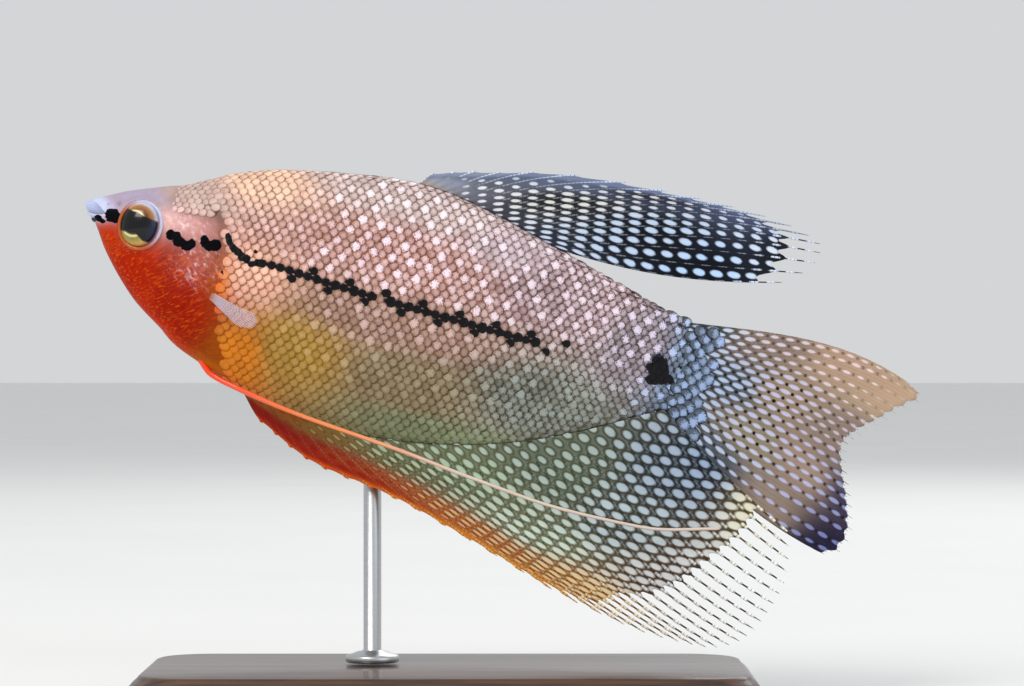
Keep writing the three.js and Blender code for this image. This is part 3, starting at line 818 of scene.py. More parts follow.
@dataclass(frozen=True)
class Body:
    """The fish's trunk and head as a row of egg-shaped sections."""

    back: Profile = Profile((
        (0, 0.9), (0.5, 1.55), (1.2, 2), (2.5, 2.65), (4.3, 3.6), (8.7, 5.4), (11.9, 6.7), (14.7, 8.2),
        (18.4, 10), (22.2, 11.5), (26.1, 12.5), (32.7, 13.8), (39, 14.7), (43, 14.9), (46.3, 14.7),
        (50.6, 14), (59.6, 11.9), (68.5, 9.6), (74.4, 8), (78.9, 6.9), (82, 6.4),
    ))
    belly: Profile = Profile((
        (0, -0.5), (0.6, -0.9), (1.2, -1.3), (1.9, -2.2), (3.5, -4.5), (6.6, -7.9), (9.3, -10.3),
        (13.5, -13.2), (19.2, -16.1), (26, -18.3), (34.7, -19.7), (41.8, -19.9), (48.7, -19.3),
        (55.6, -17.9), (62.2, -15.9), (68.6, -13.2), (74.7, -10), (79.1, -7.4), (82, -5.9),
    ))
    half_width: Profile = Profile((
        (0, 0.75), (1, 1.45), (2.5, 2.1), (5, 3), (8, 4), (12, 5), (16, 5.7), (20, 5.8), (26, 6.2),
        (34, 6.2), (42, 5.8), (50, 5.1), (58, 4.2), (66, 3.2), (74, 2.2), (82, 1.2),
    ))
    widest_at: Profile = Profile((
        (0, 0), (5, -0.6), (12, -1.8), (20, -2.6), (34, -3), (50, -2), (66, -0.8), (82, 0.3),
    ))
    belly_turn: Profile = Profile(((0, 0.95), (14, 1), (30, 1.15), (60, 1.15), (82, 1)))
    back_turn: float = 0.94

    def surface(self, x: Array, angle: Array, inset: float = 0.0) -> Array:
        """Give points on the sections.

        Args:
            x: Places along the fish.
            angle: Angles round the section, 0 at the right side and a quarter turn at the back.
            inset: How far inside the outline the points lie.

        Returns:
            Rows of x, y, z in mm.
        """
        x, angle = np.broadcast_arrays(np.asarray(x, float), np.asarray(angle, float))
        c, s = np.cos(angle), np.sin(angle)
        middle = self.widest_at.at(x)
        up = self.back.at(x) - inset - middle
        down = middle - self.belly.at(x) - inset
        half = self.half_width.at(x) - inset
        turn = np.where(s >= 0, self.back_turn, self.belly_turn.at(x))
        y = half * np.sign(c) * np.abs(c) ** turn
        z = middle + np.where(s >= 0, up, down) * s
        return np.stack([x, y, z], axis=-1)

    def outward(self, ways: Array, points: Array) -> Array:
        """Turn normals outwards and give them the length 1.

        Args:
            ways: The normals.
            points: Where they stand, in the fish's frame.

        Returns:
            The turned rows.
        """
        x = points[..., 0]
        away = points - np.stack([x, 0 * x, self.widest_at.at(x)], axis=-1)
        return unit_rows(ways * np.sign(np.sum(ways * away, axis=-1, keepdims=True)))

    def keel(self, x: Array, z: Array) -> Array:
        """Say how near the belly's edge a height is: 1 at the edge, 0 from 2.4 mm above it."""
        return 1 - step(z - self.belly.at(x), 0.3, 2.4)

    def flank(self, x: Array, z: Array) -> Array:
        """Give the half width at a place and height.

        Args:
            x: Places along the fish.
            z: Heights in the fish's frame.

        Returns:
            The distance from the middle plane in mm.
        """
        x, z = np.asarray(x, float), np.asarray(z, float)
        middle = self.widest_at.at(x)
        above = z >= middle
        reach = np.where(above, self.back.at(x) - middle, middle - self.belly.at(x))
        turn = np.where(above, self.back_turn, self.belly_turn.at(x))
        share = np.abs(z - middle) / reach
        return self.half_width.at(x) * np.sqrt(np.clip(1 - share * share, 0, 1)) ** turn


@dataclass(frozen=True)
class Eye:
    """One eye: a ball turned a little forwards, in a ring of skin."""

    x: float = 7.7
    z: float = -0.3
    wide: float = 2.85
    tall: float = 3.15
    depth: float = 1.95
    sunk: float = 1.1
    turn_deg: float = 14.0
    rim: float = 0.25
    columns: int = 112
    rings: int = 56

    def centre(self, body: Body, side: Side) -> Array:
        """Give the ball's middle in the fish's frame."""
        return np.array([self.x, side.value * (float(body.flank(self.x, self.z)) - self.sunk), self.z])

    def local(self, body: Body, side: Side, points: Array) -> Array:
        """Give points in the eye's own frame, in eye radii.

        Args:
            body: The body that carries the eye.
            side: Which eye.
            points: Rows of x, y, z in the fish's frame.

        Returns:
            Rows of the place along, outwards and up.
        """
        away = points - self.centre(body, side)
        along, out = rotated(away[..., 0], away[..., 1], -side.value * math.radians(self.turn_deg))
        return np.stack([along / self.wide, out * side.value / self.depth, away[..., 2] / self.tall], axis=-1)

    def ball(self, body: Body, side: Side) -> tuple[Array, list, Array]:
        """Make the ball.

        Args:
            body: The body that carries the eye.
            side: Which eye.

        Returns:
            Points in the fish's frame, faces, and each point on a ball of radius 1.
        """
        polar = np.linspace(0, np.pi, self.rings + 1)[:, None]
        turn = np.linspace(0, 2 * np.pi, self.columns, endpoint=False)[None, :]
        unit = np.stack(np.broadcast_arrays(np.sin(polar) * np.cos(turn), np.cos(polar),
                                            np.sin(polar) * np.sin(turn)), axis=-1).reshape(-1, 3)
        x, y, z = (unit * np.array([self.wide, self.depth * side.value, self.tall])).T
        x, y = rotated(x, y, side.value * math.radians(self.turn_deg))
        points = np.stack([x, y, z], axis=-1) + self.centre(body, side)
        faces = grid_faces(self.rings + 1, self.columns, True)
        if side is Side.RIGHT:
            faces = [face[::-1] for face in faces]
        return points, faces, unit


class Studio:
    """The camera, the lights, the floor and the pale room."""

    def __init__(self, pose: Pose) -> None:
        """Keep the fish's pose, which places the camera."""
        self.pose = pose

    def camera(self) -> None:
        """Set the camera square to the fish's left side, framed as the photograph is."""
        mm_per_pixel, frame_width, distance = 0.134, 1024, 0.5
        frame_centre = np.array([56.8, 0.0, -17.96])
        data = bpy.data.cameras.new("camera")
        data.sensor_width = 36.0
        data.lens = data.sensor_width * distance / (mm_per_pixel * MM * frame_width)
        data.clip_start, data.clip_end = 0.01, 20.0
        thing = linked("camera", data)
        thing.location = self.pose.origin + frame_centre * MM + np.array([0, -distance, 0])
        thing.rotation_euler = (math.pi / 2, 0, 0)
        bpy.context.scene.camera = thing

    def lamp(self, name: str, place: tuple[float, float, float], power: float, size: float,
             tint: str) -> None:
        """Hang one soft box that points at the fish.

        Args:
            name: The lamp's name.
            place: Where it hangs, in metres from the fish's middle.
            power: Its power in watts.
            size: How wide it is.
            tint: Its colour.
        """
        data = bpy.data.lights.new(name, "AREA")
        data.energy, data.size, data.color = power, size, linear(tint)
        thing = linked(name, data)
        middle = np.array([0.0, 0.0, 0.045])
        thing.location = middle + np.array(place)
        away = np.array(place) / np.linalg.norm(place)
        thing.rotation_euler = (math.acos(away[2]), 0, math.atan2(away[1], away[0]) + math.pi / 2)

    def light(self) -> None:
        """Light the fish softly from above and from both sides."""
        self.lamp("key_light", (-0.35, -0.55, 0.62), 4.2, 0.4, "#FFFAF2")
        self.lamp("fill_light", (0.6, -0.5, 0.15), 0.9, 0.6, "#EAF2FF")
        self.lamp("back_light", (0.25, 0.6, 0.5), 1.6, 0.5, "#FFFFFF")
        world = bpy.data.worlds.new("pale_room")
        world.use_nodes = True
        shade = world.node_tree.nodes["Background"]
        shade.inputs["Color"].default_value = four("#E4E6E8")
        shade.inputs["Strength"].default_value = 0.84
        bpy.context.scene.world = world
        bpy.context.scene.view_settings.view_transform = "Standard"

    def floor(self) -> None:
        """Lay a plain pale floor."""
        reach = 4.0
        corners = np.array([[-reach, -reach, 0], [reach, -reach, 0], [reach, reach, 0], [-reach, reach, 0]])
        paint = Paint("matt_floor_paint", 0.8)
        paint.colour(paint.blend(paint.noise(60.0), four("#E6E7E6"), four("#ECEDEC")))
        mesh = Shape(corners, [(0, 1, 2, 3)]).mesh("floor", Shading.FLAT)
        mesh.materials.append(paint.material)
        thing = linked("floor", mesh)


@dataclass(frozen=True)
class SkinFinish:
    """Living fish skin: thin clear slime over pigment, so it is wet and glossy with soft mottling."""

    name: str = "wet_fish_skin"
    roughness: float = 0.42
    coat: float = 0.03

    def make(self) -> bpy.types.Material:
        """Build the material.

        Returns:
            The material, which reads the painted colour of each point.
        """
        paint = Paint(self.name, self.roughness, self.coat, ior=1.12)
        base = paint.tint("paint")
        mottle, fine = paint.noise(0.9, 4.0), paint.noise(0.28)
        shaded = paint.blend(paint.times(mottle, 0.4), base, four("#8A5A48"), "OVERLAY")
        # Fine streaks of orange and dark red run down and back over the throat.
        streaks = paint.noise(0.34, 3.0, (0.2, 1.0, 1.5), 24.0)
        amount = paint.read("streaks")
        light = paint.times(paint.fade(streaks, 0.5, 0.72), paint.times(amount, 0.55))
        dusk = paint.times(paint.fade(streaks, 0.48, 0.3), paint.times(amount, 0.4))
        shaded = paint.blend(light, shaded, four("#E86408"))
        shaded = paint.blend(dusk, shaded, four("#8C1400"))
        # Painted highlights: pale specks painted on the gill cover and behind the eye.
        grain = paint.noise(0.5, 3.0, (0.6, 1.0, 1.2), -50.0)
        painted_highlight_fleck = paint.times(paint.fade(grain, 0.5, 0.74), paint.read("painted_highlight_flecks"))
        shaded = paint.blend(painted_highlight_fleck, shaded, four("#F2D8DC"))
        paint.colour(paint.marked(shaded))
        paint.rough(mottle, 0.3, 0.52)
        paint.relief(paint.plus(streaks, paint.times(fine, 0.5)), 0.12)
        paint.flesh(0.06, 0.6)
        return paint.material


@dataclass(frozen=True)
class ScaleFinish:
    """A thin horny fish scale over pigment: clear and glossy, with a pearly spot that shines."""

    name: str = "cycloid_fish_scale"
    roughness: float = 0.3
    coat: float = 0.1
    ring_mm: float = 0.09
    half_mm: float = 0.95
    pearl_at: float = 0.34

    def make(self) -> bpy.types.Material:
        """Build the material.

        Returns:
            The material, which reads each scale's colours and the place on the scale.
        """
        paint = Paint(self.name, self.roughness, self.coat, ior=1.25)
        along, across, _ = paint.parts("on_scale")
        wander = paint.math("MULTIPLY_ADD", paint.noise(0.5, 2.0), 0.7, -0.35)
        # The pearl is an oval with a ragged edge, a little behind the scale's middle.
        centre = paint.minus(along, self.pearl_at)
        down = paint.times(paint.times(centre, centre), 1.3)
        over = paint.times(paint.times(across, across), 0.8)
        near = paint.math("SQRT", paint.plus(down, over))
        ragged = paint.math("MULTIPLY_ADD", paint.noise(0.17, 2.0), 1.3, -0.65)
        ragged = paint.math("MULTIPLY_ADD", wander, 0.9, ragged)
        spot = paint.minus(paint.plus(near, ragged), paint.read("pearl_size"))
        pearl = paint.minus(1.0, paint.fade(spot, -0.3, 0.2))
        # The dark net lies along the scale's edge.
        rim = paint.length(along, across)
        edge = paint.fade(paint.math("MULTIPLY_ADD", wander, 0.5, rim), 0.64, 0.97)
        base = paint.blend(edge, paint.tint("scale_paint"), paint.tint("net_paint"))
        shown = paint.blend(pearl, base, paint.tint("pearl_paint"))
        cloud = paint.times(paint.noise(1.6), 0.4)
        paint.colour(paint.marked(paint.blend(cloud, shown, four("#7A5A50"), "OVERLAY")))
        paint.rough(paint.minus(1.0, pearl), 0.2, 0.42)
        rings = paint.math("SINE", paint.times(rim, 2 * math.pi * self.half_mm / self.ring_mm))
        paint.relief(rings, 0.01, 0.35)
        return paint.material


@dataclass
class Scales:
    """The overlapping scales, in rows that follow the lateral line."""

    body: Body
    marks: Markings
    pose: Pose
    pitch_along: float = 1.26
    pitch_across: float = 0.97
    start_x: float = 9.6
    end_x: float = 81.8
    long: float = 0.98
    wide: float = 0.86
    thick: float = 0.05
    dome: float = 0.05
    lift_deg: float = 5.0
    seed: int = 7
    samples: int = 721
    full_height: float = 33.0
    segments: int = 12
    rings: int = 5
    unwrap_mm: tuple[float, float] = (94.0, 45.0)

    def lattice(self, side: Side) -> dict[str, Array]:
        """Set out the scales' roots on one side.

        Args:
            side: Which side.

        Returns:
            The places, bases and sizes of the scales by name.
        """
        rng = np.random.default_rng(self.seed + side.value)
        found: dict[str, list] = {key: [] for key in ("x", "angle", "size", "row", "column", "arc")}
        x, column = self.start_x, 0
        angles = np.pi / 2 - side.value * np.linspace(0, np.pi, self.samples)
        while x < self.end_x:
            # Scales are smaller where the body is low, and on the nape.
            tall = float(self.body.back.at(x) - self.body.belly.at(x))
            size = min(1.0, tall / self.full_height) ** 0.22
            size *= 1 - 0.16 * float(1 - step(np.array(x), 10, 24))
            ring = self.body.surface(np.full(self.samples, x), angles)
            arc = lengths_along(ring)
            line = np.interp(-float(self.marks.line(x)), -ring[:, 2], arc)
            across = self.pitch_across * size
            rows = np.arange(math.ceil(-line / across), int((arc[-1] - line) / across) + 1)
            rows = rows[(rows + column) % 2 == 0]
            places = line + rows * across
            keep = (places > 0.1) & (places < arc[-1] - 0.1)
            places, rows = places[keep], rows[keep]
            count = len(places)
            ringed = {
                "x": np.full(count, x), "angle": np.interp(places, arc, angles), "size": np.full(count, size),
                "row": rows, "column": np.full(count, column), "arc": places,
            }
            for key, value in ringed.items():
                found[key].append(value)
            x += self.pitch_along / 2 * size
            column += 1
        flat = {key: np.concatenate(value) for key, value in found.items()}
        flat["chance"] = rng.random(len(flat["x"]))
        flat["tilt"] = rng.normal(0, 1, len(flat["x"]))
        return flat

    def roots(self, side: Side, skin_lift: "Relief") -> Shape:
        """Make the points that carry the scales.

        Args:
            side: Which side.
            skin_lift: The sculpted relief of the skin below.

        Returns:
            A shape of single points with each scale's values.
        """
        flat = self.lattice(side)
        x, angle = flat["x"], flat["angle"]
        # The directions on the skin come from points a little before, after and beside each root.
        points, before, after, beside = (
            self.body.surface(x + moved, angle - turned * side.value, COAT_DEPTH)
            for moved, turned in ((0, 0), (-0.3, 0), (0.3, 0), (0, 0.01)))
        ahead, around = unit_rows(after - before), beside - points
        normal = self.body.outward(np.cross(ahead, around), points)
        lift, shown = skin_lift.at(points, side)
        points = points + normal * lift[:, None]
        keep = (shown > 0.5) & (skin_lift.bare(points) < 0.5)
        x, z = points[:, 0], points[:, 2]
        chance, row, column = flat["chance"], flat["row"], flat["column"]
        net, scale, pearl = self.marks.colours(x, z)
        # The net fades on the breast. Along the belly's edge the net and the scales are painted lighter, as
        # painted light against the shade that falls under the belly's curve.
        keel = self.body.keel(x, z)
        faint = 0.6 * step(-z, 4.0, 9.0) * (1 - step(x, 38, 54))
        net = mixed(net, scale, np.clip(0.1 + 0.85 * keel + faint, 0, 0.94))
        scale = scale * (1.06 + 0.4 * keel[:, None])
        # About one scale in four is a lone pearl, larger and brighter on the rear part. The others shine as
        # well towards the tail.
        lone = (row % 2 == 0) & ((row + column) % 4 == 0) & (chance > 0.09)
        rear = step(x, 27, 35) * step(z - self.marks.stripe.at(x), -14, -8)
        stalk = step(x, 69, 77)
        crowd = step(x, 56, 74) * (0.5 + 0.5 * step(-z, 0, 5)) + step(x, 74, 79)
        crowd = np.clip(crowd + step(x, 48, 60) * step(-z, 8, 13), 0, 1)
        pearl_size = 0.44 + 0.06 * chance + 0.06 * rear * lone + 0.1 * crowd * (1 - lone)
        shine = np.clip(0.26 + 0.4 * chance + (0.35 + 0.4 * chance) * lone * rear + 0.35 * crowd, 0, 1)
        shine = shine - 0.26 * stalk * (1 - lone) + 0.2 * stalk * lone
        shine = shine * (1 - 0.3 * step(-z, 1.0, 5.0) * (1 - step(x, 50, 62)))
        vary = 0.84 + 0.32 * chance[:, None]
        size = flat["size"] * (1 + (0.12 + 0.22 * chance) * lone * rear) * (1 - 0.12 * (1 - step(x, 12, 24)))
        size = size * (1 + 0.16 * stalk * lone)
        values = {
            "net_paint": opaque(net * vary), "scale_paint": opaque(scale * vary),
            "pearl_paint": opaque(mixed(scale, pearl, shine)), "pearl_size": pearl_size,
            "black": self.marks.striped(x, column, row, chance).astype(float),
            "root": self.unwrapped(x, flat["arc"]),
        }
        tilt = np.radians(self.lift_deg + 1.2 * flat["tilt"])
        return self.laid(points, ahead, normal, tilt, size, values, keep)

    def unwrapped(self, along: Array, down: Array) -> Array:
        """Give the scales' places on the unwrap, from their places in mm along and down the side."""
        return np.stack([along / self.unwrap_mm[0], down / self.unwrap_mm[1], 0 * along], axis=-1)

    def laid(self, points: Array, ahead: Array, normal: Array, tilt: Array, size: Array,
             values: dict[str, Array], keep: Array) -> Shape:
        """Turn roots with their directions to points that the Geometry Nodes can read.

        Args:
            points: Where the scales sit, in mm in the fish's frame.
            ahead: The way that each points, along the skin.
            normal: The way out of the skin.
            tilt: How far each lifts, in radians.
            size: How big each is.
            values: Their named values.
            keep: Which of them are used.

        Returns:
            A shape of single points.
        """
        front = ahead * np.cos(tilt)[:, None] + normal * np.sin(tilt)[:, None]
        up = normal * np.cos(tilt)[:, None] - ahead * np.sin(tilt)[:, None]
        turned = [self.pose.turned(way) for way in (front, np.cross(up, front), up)]
        euler = np.stack([
            np.arctan2(turned[1][:, 2], turned[2][:, 2]),
            -np.arcsin(np.clip(turned[0][:, 2], -1, 1)),
            np.arctan2(turned[0][:, 1], turned[0][:, 0]),
        ], axis=-1)
        spread = np.stack([self.long * size, self.wide * size, np.minimum(1.0, 1 / size ** 2)], axis=-1) * MM
        values = values | {"turn": euler, "spread": spread}
        return Shape(self.pose.placed(points), [], values).chosen(keep)

    def tail_roots(self, side: Side, tail: "Fin") -> Shape:
        """Set out the larger scales that run on to the root of the tail fin.

        Args:
            side: Which side.
            tail: The tail fin.

        Returns:
            A shape of single points with each scale's values.
        """
        rng = np.random.default_rng(self.seed + 10 + side.value)
        rows, columns, start, reach = 14, 6, 0.012, 0.17
        ray_mm, step_mm, top_mm = 28.0, 0.5, 14.0
        grid = [(column, row) for column in range(columns) for row in range(1, rows)]
        column, row = np.array([place for place in grid if sum(place) % 2 == 0]).T
        u = row / rows
        s = start + reach * column / columns + rng.uniform(-0.004, 0.004, len(row))
        points = tail.points(u, s)
        ahead = unit_rows(tail.points(u, s + 0.01) - points)
        gap = np.linalg.norm(tail.points(u + 0.5 / rows, s) - tail.points(u - 0.5 / rows, s), axis=-1)
        half = tail.half_at(s * ray_mm)
        slope = (tail.half_at(s * ray_mm + step_mm) - half) / step_mm
        points[:, 1] += side.value * (half + 0.01)
        normal = np.tile([0.0, float(side.value), 0.0], (len(u), 1))
        chance = rng.random(len(u))
        net, scale, pearl = self.marks.colours(points[:, 0], points[:, 2])
        values = {
            "net_paint": opaque(net), "scale_paint": opaque(mixed(scale, pearl, np.full(len(u), 0.14))),
            "pearl_paint": opaque(mixed(scale, pearl, 0.7 + 0.4 * chance)), "pearl_size": 0.5 + 0.1 * chance,
            "black": 0 * u, "root": self.unwrapped(points[:, 0], top_mm - points[:, 2]),
        }
        size = np.clip(gap / self.pitch_across, 0.7, 1.3)
        tilt = np.arctan(slope) + math.radians(2)
        # Fewer of them are left further out on the fin.
        return self.laid(points, ahead, normal, tilt, size, values, chance > 4 * (s - 0.1))

    def tree(self) -> bpy.types.NodeTree:
        """Build the Geometry Nodes that set a domed scale on every root.

        Returns:
            The node group.
        """
        grow = Grove("scale_coat", {"Roots": "Geometry", "Segments": "Int", "Rings": "Int",
                                    "Thickness": "Float", "Dome": "Float", "Finish": "Material"}, "Scales")
        ball = grow.node("GeometryNodeMeshUVSphere", Segments=grow.given["Segments"],
                         Rings=grow.given["Rings"], Radius=1.0)
        place = grow.node("GeometryNodeInputPosition")
        kept = grow.node("GeometryNodeStoreNamedAttribute", {"data_type": "FLOAT_VECTOR", "domain": "POINT"},
                         Geometry=ball, Name="on_scale", Value=place)
        # The ball is pressed flat and then domed, highest in the middle.
        x, y, z = grow.node("SeparateXYZ", Vector=place).outputs
        flat = grow.times(z, grow.given["Thickness"])
        radius = grow.plus(grow.times(x, x), grow.times(y, y))
        crown = grow.times(grow.minus(1.0, radius), grow.given["Dome"])
        shaped = grow.node("CombineXYZ", X=x, Y=y, Z=grow.plus(flat, crown))
        scale = grow.node("GeometryNodeSetPosition", Geometry=kept, Position=shaped)
        laid = grow.node("GeometryNodeInstanceOnPoints", Points=grow.given["Roots"], Instance=scale,
                         Rotation=grow.named("turn"), Scale=grow.named("spread"))
        return grow.finish(laid)

    def build(self, relief: "Relief", tail: "Fin") -> None:
        """Lay the coat in four pieces, one above and one below the lateral line on each side.

        Args:
            relief: The sculpted relief of the skin below.
            tail: The tail fin, whose root carries scales too.
        """
        finish = ScaleFinish().make()
        tree = self.tree()
        for side in Side:
            roots = Shape.joined([self.roots(side, relief), self.tail_roots(side, tail)])
            x, z = self.pose.level(roots.points)
            above = z > self.marks.line(x)
            for level, chosen in (("upper", above), ("lower", ~above)):
                name = f"scales_{level}_{side.name.lower()}"
                inputs = {"Segments": self.segments, "Rings": self.rings, "Thickness": self.thick,
                          "Dome": self.dome, "Finish": finish}
                mesh = Grove.grown(roots.chosen(chosen), name, tree, inputs)
                self.dress(mesh)
                Piece.add(name, mesh, finish, "skin")

    def dress(self, mesh: bpy.types.Mesh) -> None:
        """Mark the stripe on the scales and give each its patch of the unwrap.

        Args:
            mesh: The realised scales.
        """
        root, local = stored(mesh, "root")[:, :2], stored(mesh, "on_scale")
        x, z = self.pose.level(stored(mesh, "position"))
        # A black scale fades towards its side edges, and the skin's own marks run on over the scales.
        inner = 1 - step(np.abs(local[:, 1]), 0.3, 0.95)
        store(mesh, "dark", np.maximum(stored(mesh, "black") * inner, self.marks.dark(x, z)))
        patch, margin = 0.0015, 0.01
        spot = root + local[:, :2] * patch
        corners = np.empty(len(mesh.loops), np.int32)
        mesh.loops.foreach_get("vertex_index", corners)
        for old in list(mesh.uv_layers):
            mesh.uv_layers.remove(old)
        unwrap = mesh.uv_layers.new(name="OFBake")
        shares = margin + (1 - 2 * margin) * spot[corners]
        unwrap.uv.foreach_set("vector", shares.astype(np.float32).ravel())
        for gone in ("turn", "spread", "root", "black"):
            mesh.attributes.remove(mesh.attributes[gone])


@dataclass(frozen=True)
class Relief:
    """The sculpting of the head: gill cover, cheek groove, eye sockets, nostrils and mouth."""

    body: Body
    eye: Eye
    gill_rear: tuple = (
        (15.2, 4.6), (16.6, 4.4), (17.7, 3.5), (18.7, 1.8), (19.2, -0.4), (19.1, -2.4), (18.6, -4.4),
        (17.7, -6.8), (16.5, -9.6), (14.9, -11.6), (12.8, -12.4),
    )
    cheek: tuple = ((9.4, -4.6), (10.1, -6.8), (11.2, -9.0), (12.6, -10.9))
    inner_gill: tuple = ((12.6, 2.0), (12.1, -1.3), (11.9, -5.2), (12.9, -8.6), (14.4, -10.6))
    nostrils: tuple = ((2.7, 1.3, 0.24), (4.1, 1.75, 0.32))
    proud: float = 0.36
    head_end: float = 26.0
    snout_end: float = 9.8
    brow: Profile = Profile((
        (9.8, 2.1), (13.5, 2.9), (16.7, 3.6), (18.2, 3.2), (18.9, 1.8), (19.4, 0.5), (20, -1),
    ))
    nape: Profile = Profile((
        (-20, 24.5), (-14, 22.6), (-10, 20.9), (-7.4, 20.3), (-3.9, 20), (-1, 19.9), (0.6, 19.3),
        (1.8, 18.8), (3.2, 18.1), (3.6, 16.9),
    ))

    @staticmethod
    def near_path(path: tuple, x: Array, z: Array) -> tuple[Array, Array]:
        """Measure how far points are from a smooth path, and on which side.

        Args:
            path: The path's points.
            x: Places along the fish.
            z: Heights in the fish's frame.

        Returns:
            The distance, negative ahead of the path, and the share along it.
        """
        knots = np.array(path, float)
        share = np.linspace(0, 1, len(knots))
        table = Profile(tuple((s, *k) for s, k in zip(share, knots)))
        count = 160
        fine = np.linspace(0, 1, count)
        line = np.stack([table.at(fine, 1), table.at(fine, 2)], axis=-1)
        spots = np.stack([x.ravel(), z.ravel()], axis=-1)
        best = np.full(len(spots), 1e9)
        which = np.zeros(len(spots), int)
        for i, point in enumerate(line):
            far = np.sum((spots - point) ** 2, axis=1)
            nearer = far < best
            best[nearer], which[nearer] = far[nearer], i
        before, after = np.clip(which - 1, 0, count - 1), np.clip(which + 1, 0, count - 1)
        way = line[after] - line[before]
        away = spots - line[which]
        sign = np.sign(way[:, 0] * away[:, 1] - way[:, 1] * away[:, 0])
        return (np.sqrt(best) * sign).reshape(x.shape), fine[which].reshape(x.shape)

    def at(self, points: Array, side: Side) -> tuple[Array, Array]:
        """Give the relief at points on one side.

        Args:
            points: Rows of x, y, z on the plain body.
            side: Which side.

        Returns:
            How far each point moves outwards in mm, and 1 where scales may lie.
        """
        x, z = points[..., 0], points[..., 2]
        lift, shown = np.zeros(x.shape), np.ones(x.shape)
        front = x < self.head_end
        xf, zf = x[front], z[front]
        # The skin steps up at the gill cover's rear edge, with a groove along the step and one further in.
        away, share = self.near_path(self.gill_rear, xf, zf)
        inner, _ = self.near_path(self.inner_gill, xf, zf)
        ends = step(share, 0.0, 0.12) * (1 - step(share, 0.9, 1.0))
        shoulder = step(away, -0.08, 0.1) * (1 - step(away, 2.0, 7.5)) * ends
        total = self.proud * shoulder - 0.14 * hump(away, -0.22, 0.2) * ends - 0.1 * hump(inner, 0, 0.35)
        groove, along = self.near_path(self.cheek, xf, zf)
        total = total - 0.16 * hump(groove, 0, 0.3) * np.sin(np.pi * along)
        # The eye sits in a socket with a raised rim and a shallow furrow round it.
        local = self.eye.local(self.body, side, points[front])
        round_eye = np.hypot(local[..., 0], local[..., 2])
        total = total - 1.5 * (1 - step(round_eye, 0.94, 1.03))
        total = total + 0.2 * hump(round_eye, 1.12, 0.08) - 0.1 * hump(round_eye, 1.36, 0.1)
        # Each nostril is a pit with a raised edge, and the mouth is a slit.
        for nx, nz, radius in self.nostrils:
            far = np.hypot(xf - nx, zf - nz)
            total = total - 0.35 * hump(far, 0, radius * 0.7) + 0.1 * hump(far, radius * 1.5, radius * 0.5)
        total = total - 0.4 * hump(zf, -0.45 + 0.22 * xf, 0.2) * (1 - step(xf, 1.9, 2.7))
        lift[front] = total
        clear = 1 - step(np.abs(away + 0.05), 0.0, 0.35)
        shown[front] = np.where((round_eye < 1.3) | (clear * ends > 0.4), 0.0, 1.0)
        return lift, shown

    def bare(self, points: Array) -> Array:
        """Say where the head has no scales.

        Args:
            points: Rows of x, y, z.

        Returns:
            1 where the skin is bare.
        """
        x, z = points[..., 0], points[..., 2]
        under_brow = (z < self.brow.at(x)) & (x < self.nape.at(z))
        return np.where((x < self.snout_end) | under_brow, 1.0, 0.0)


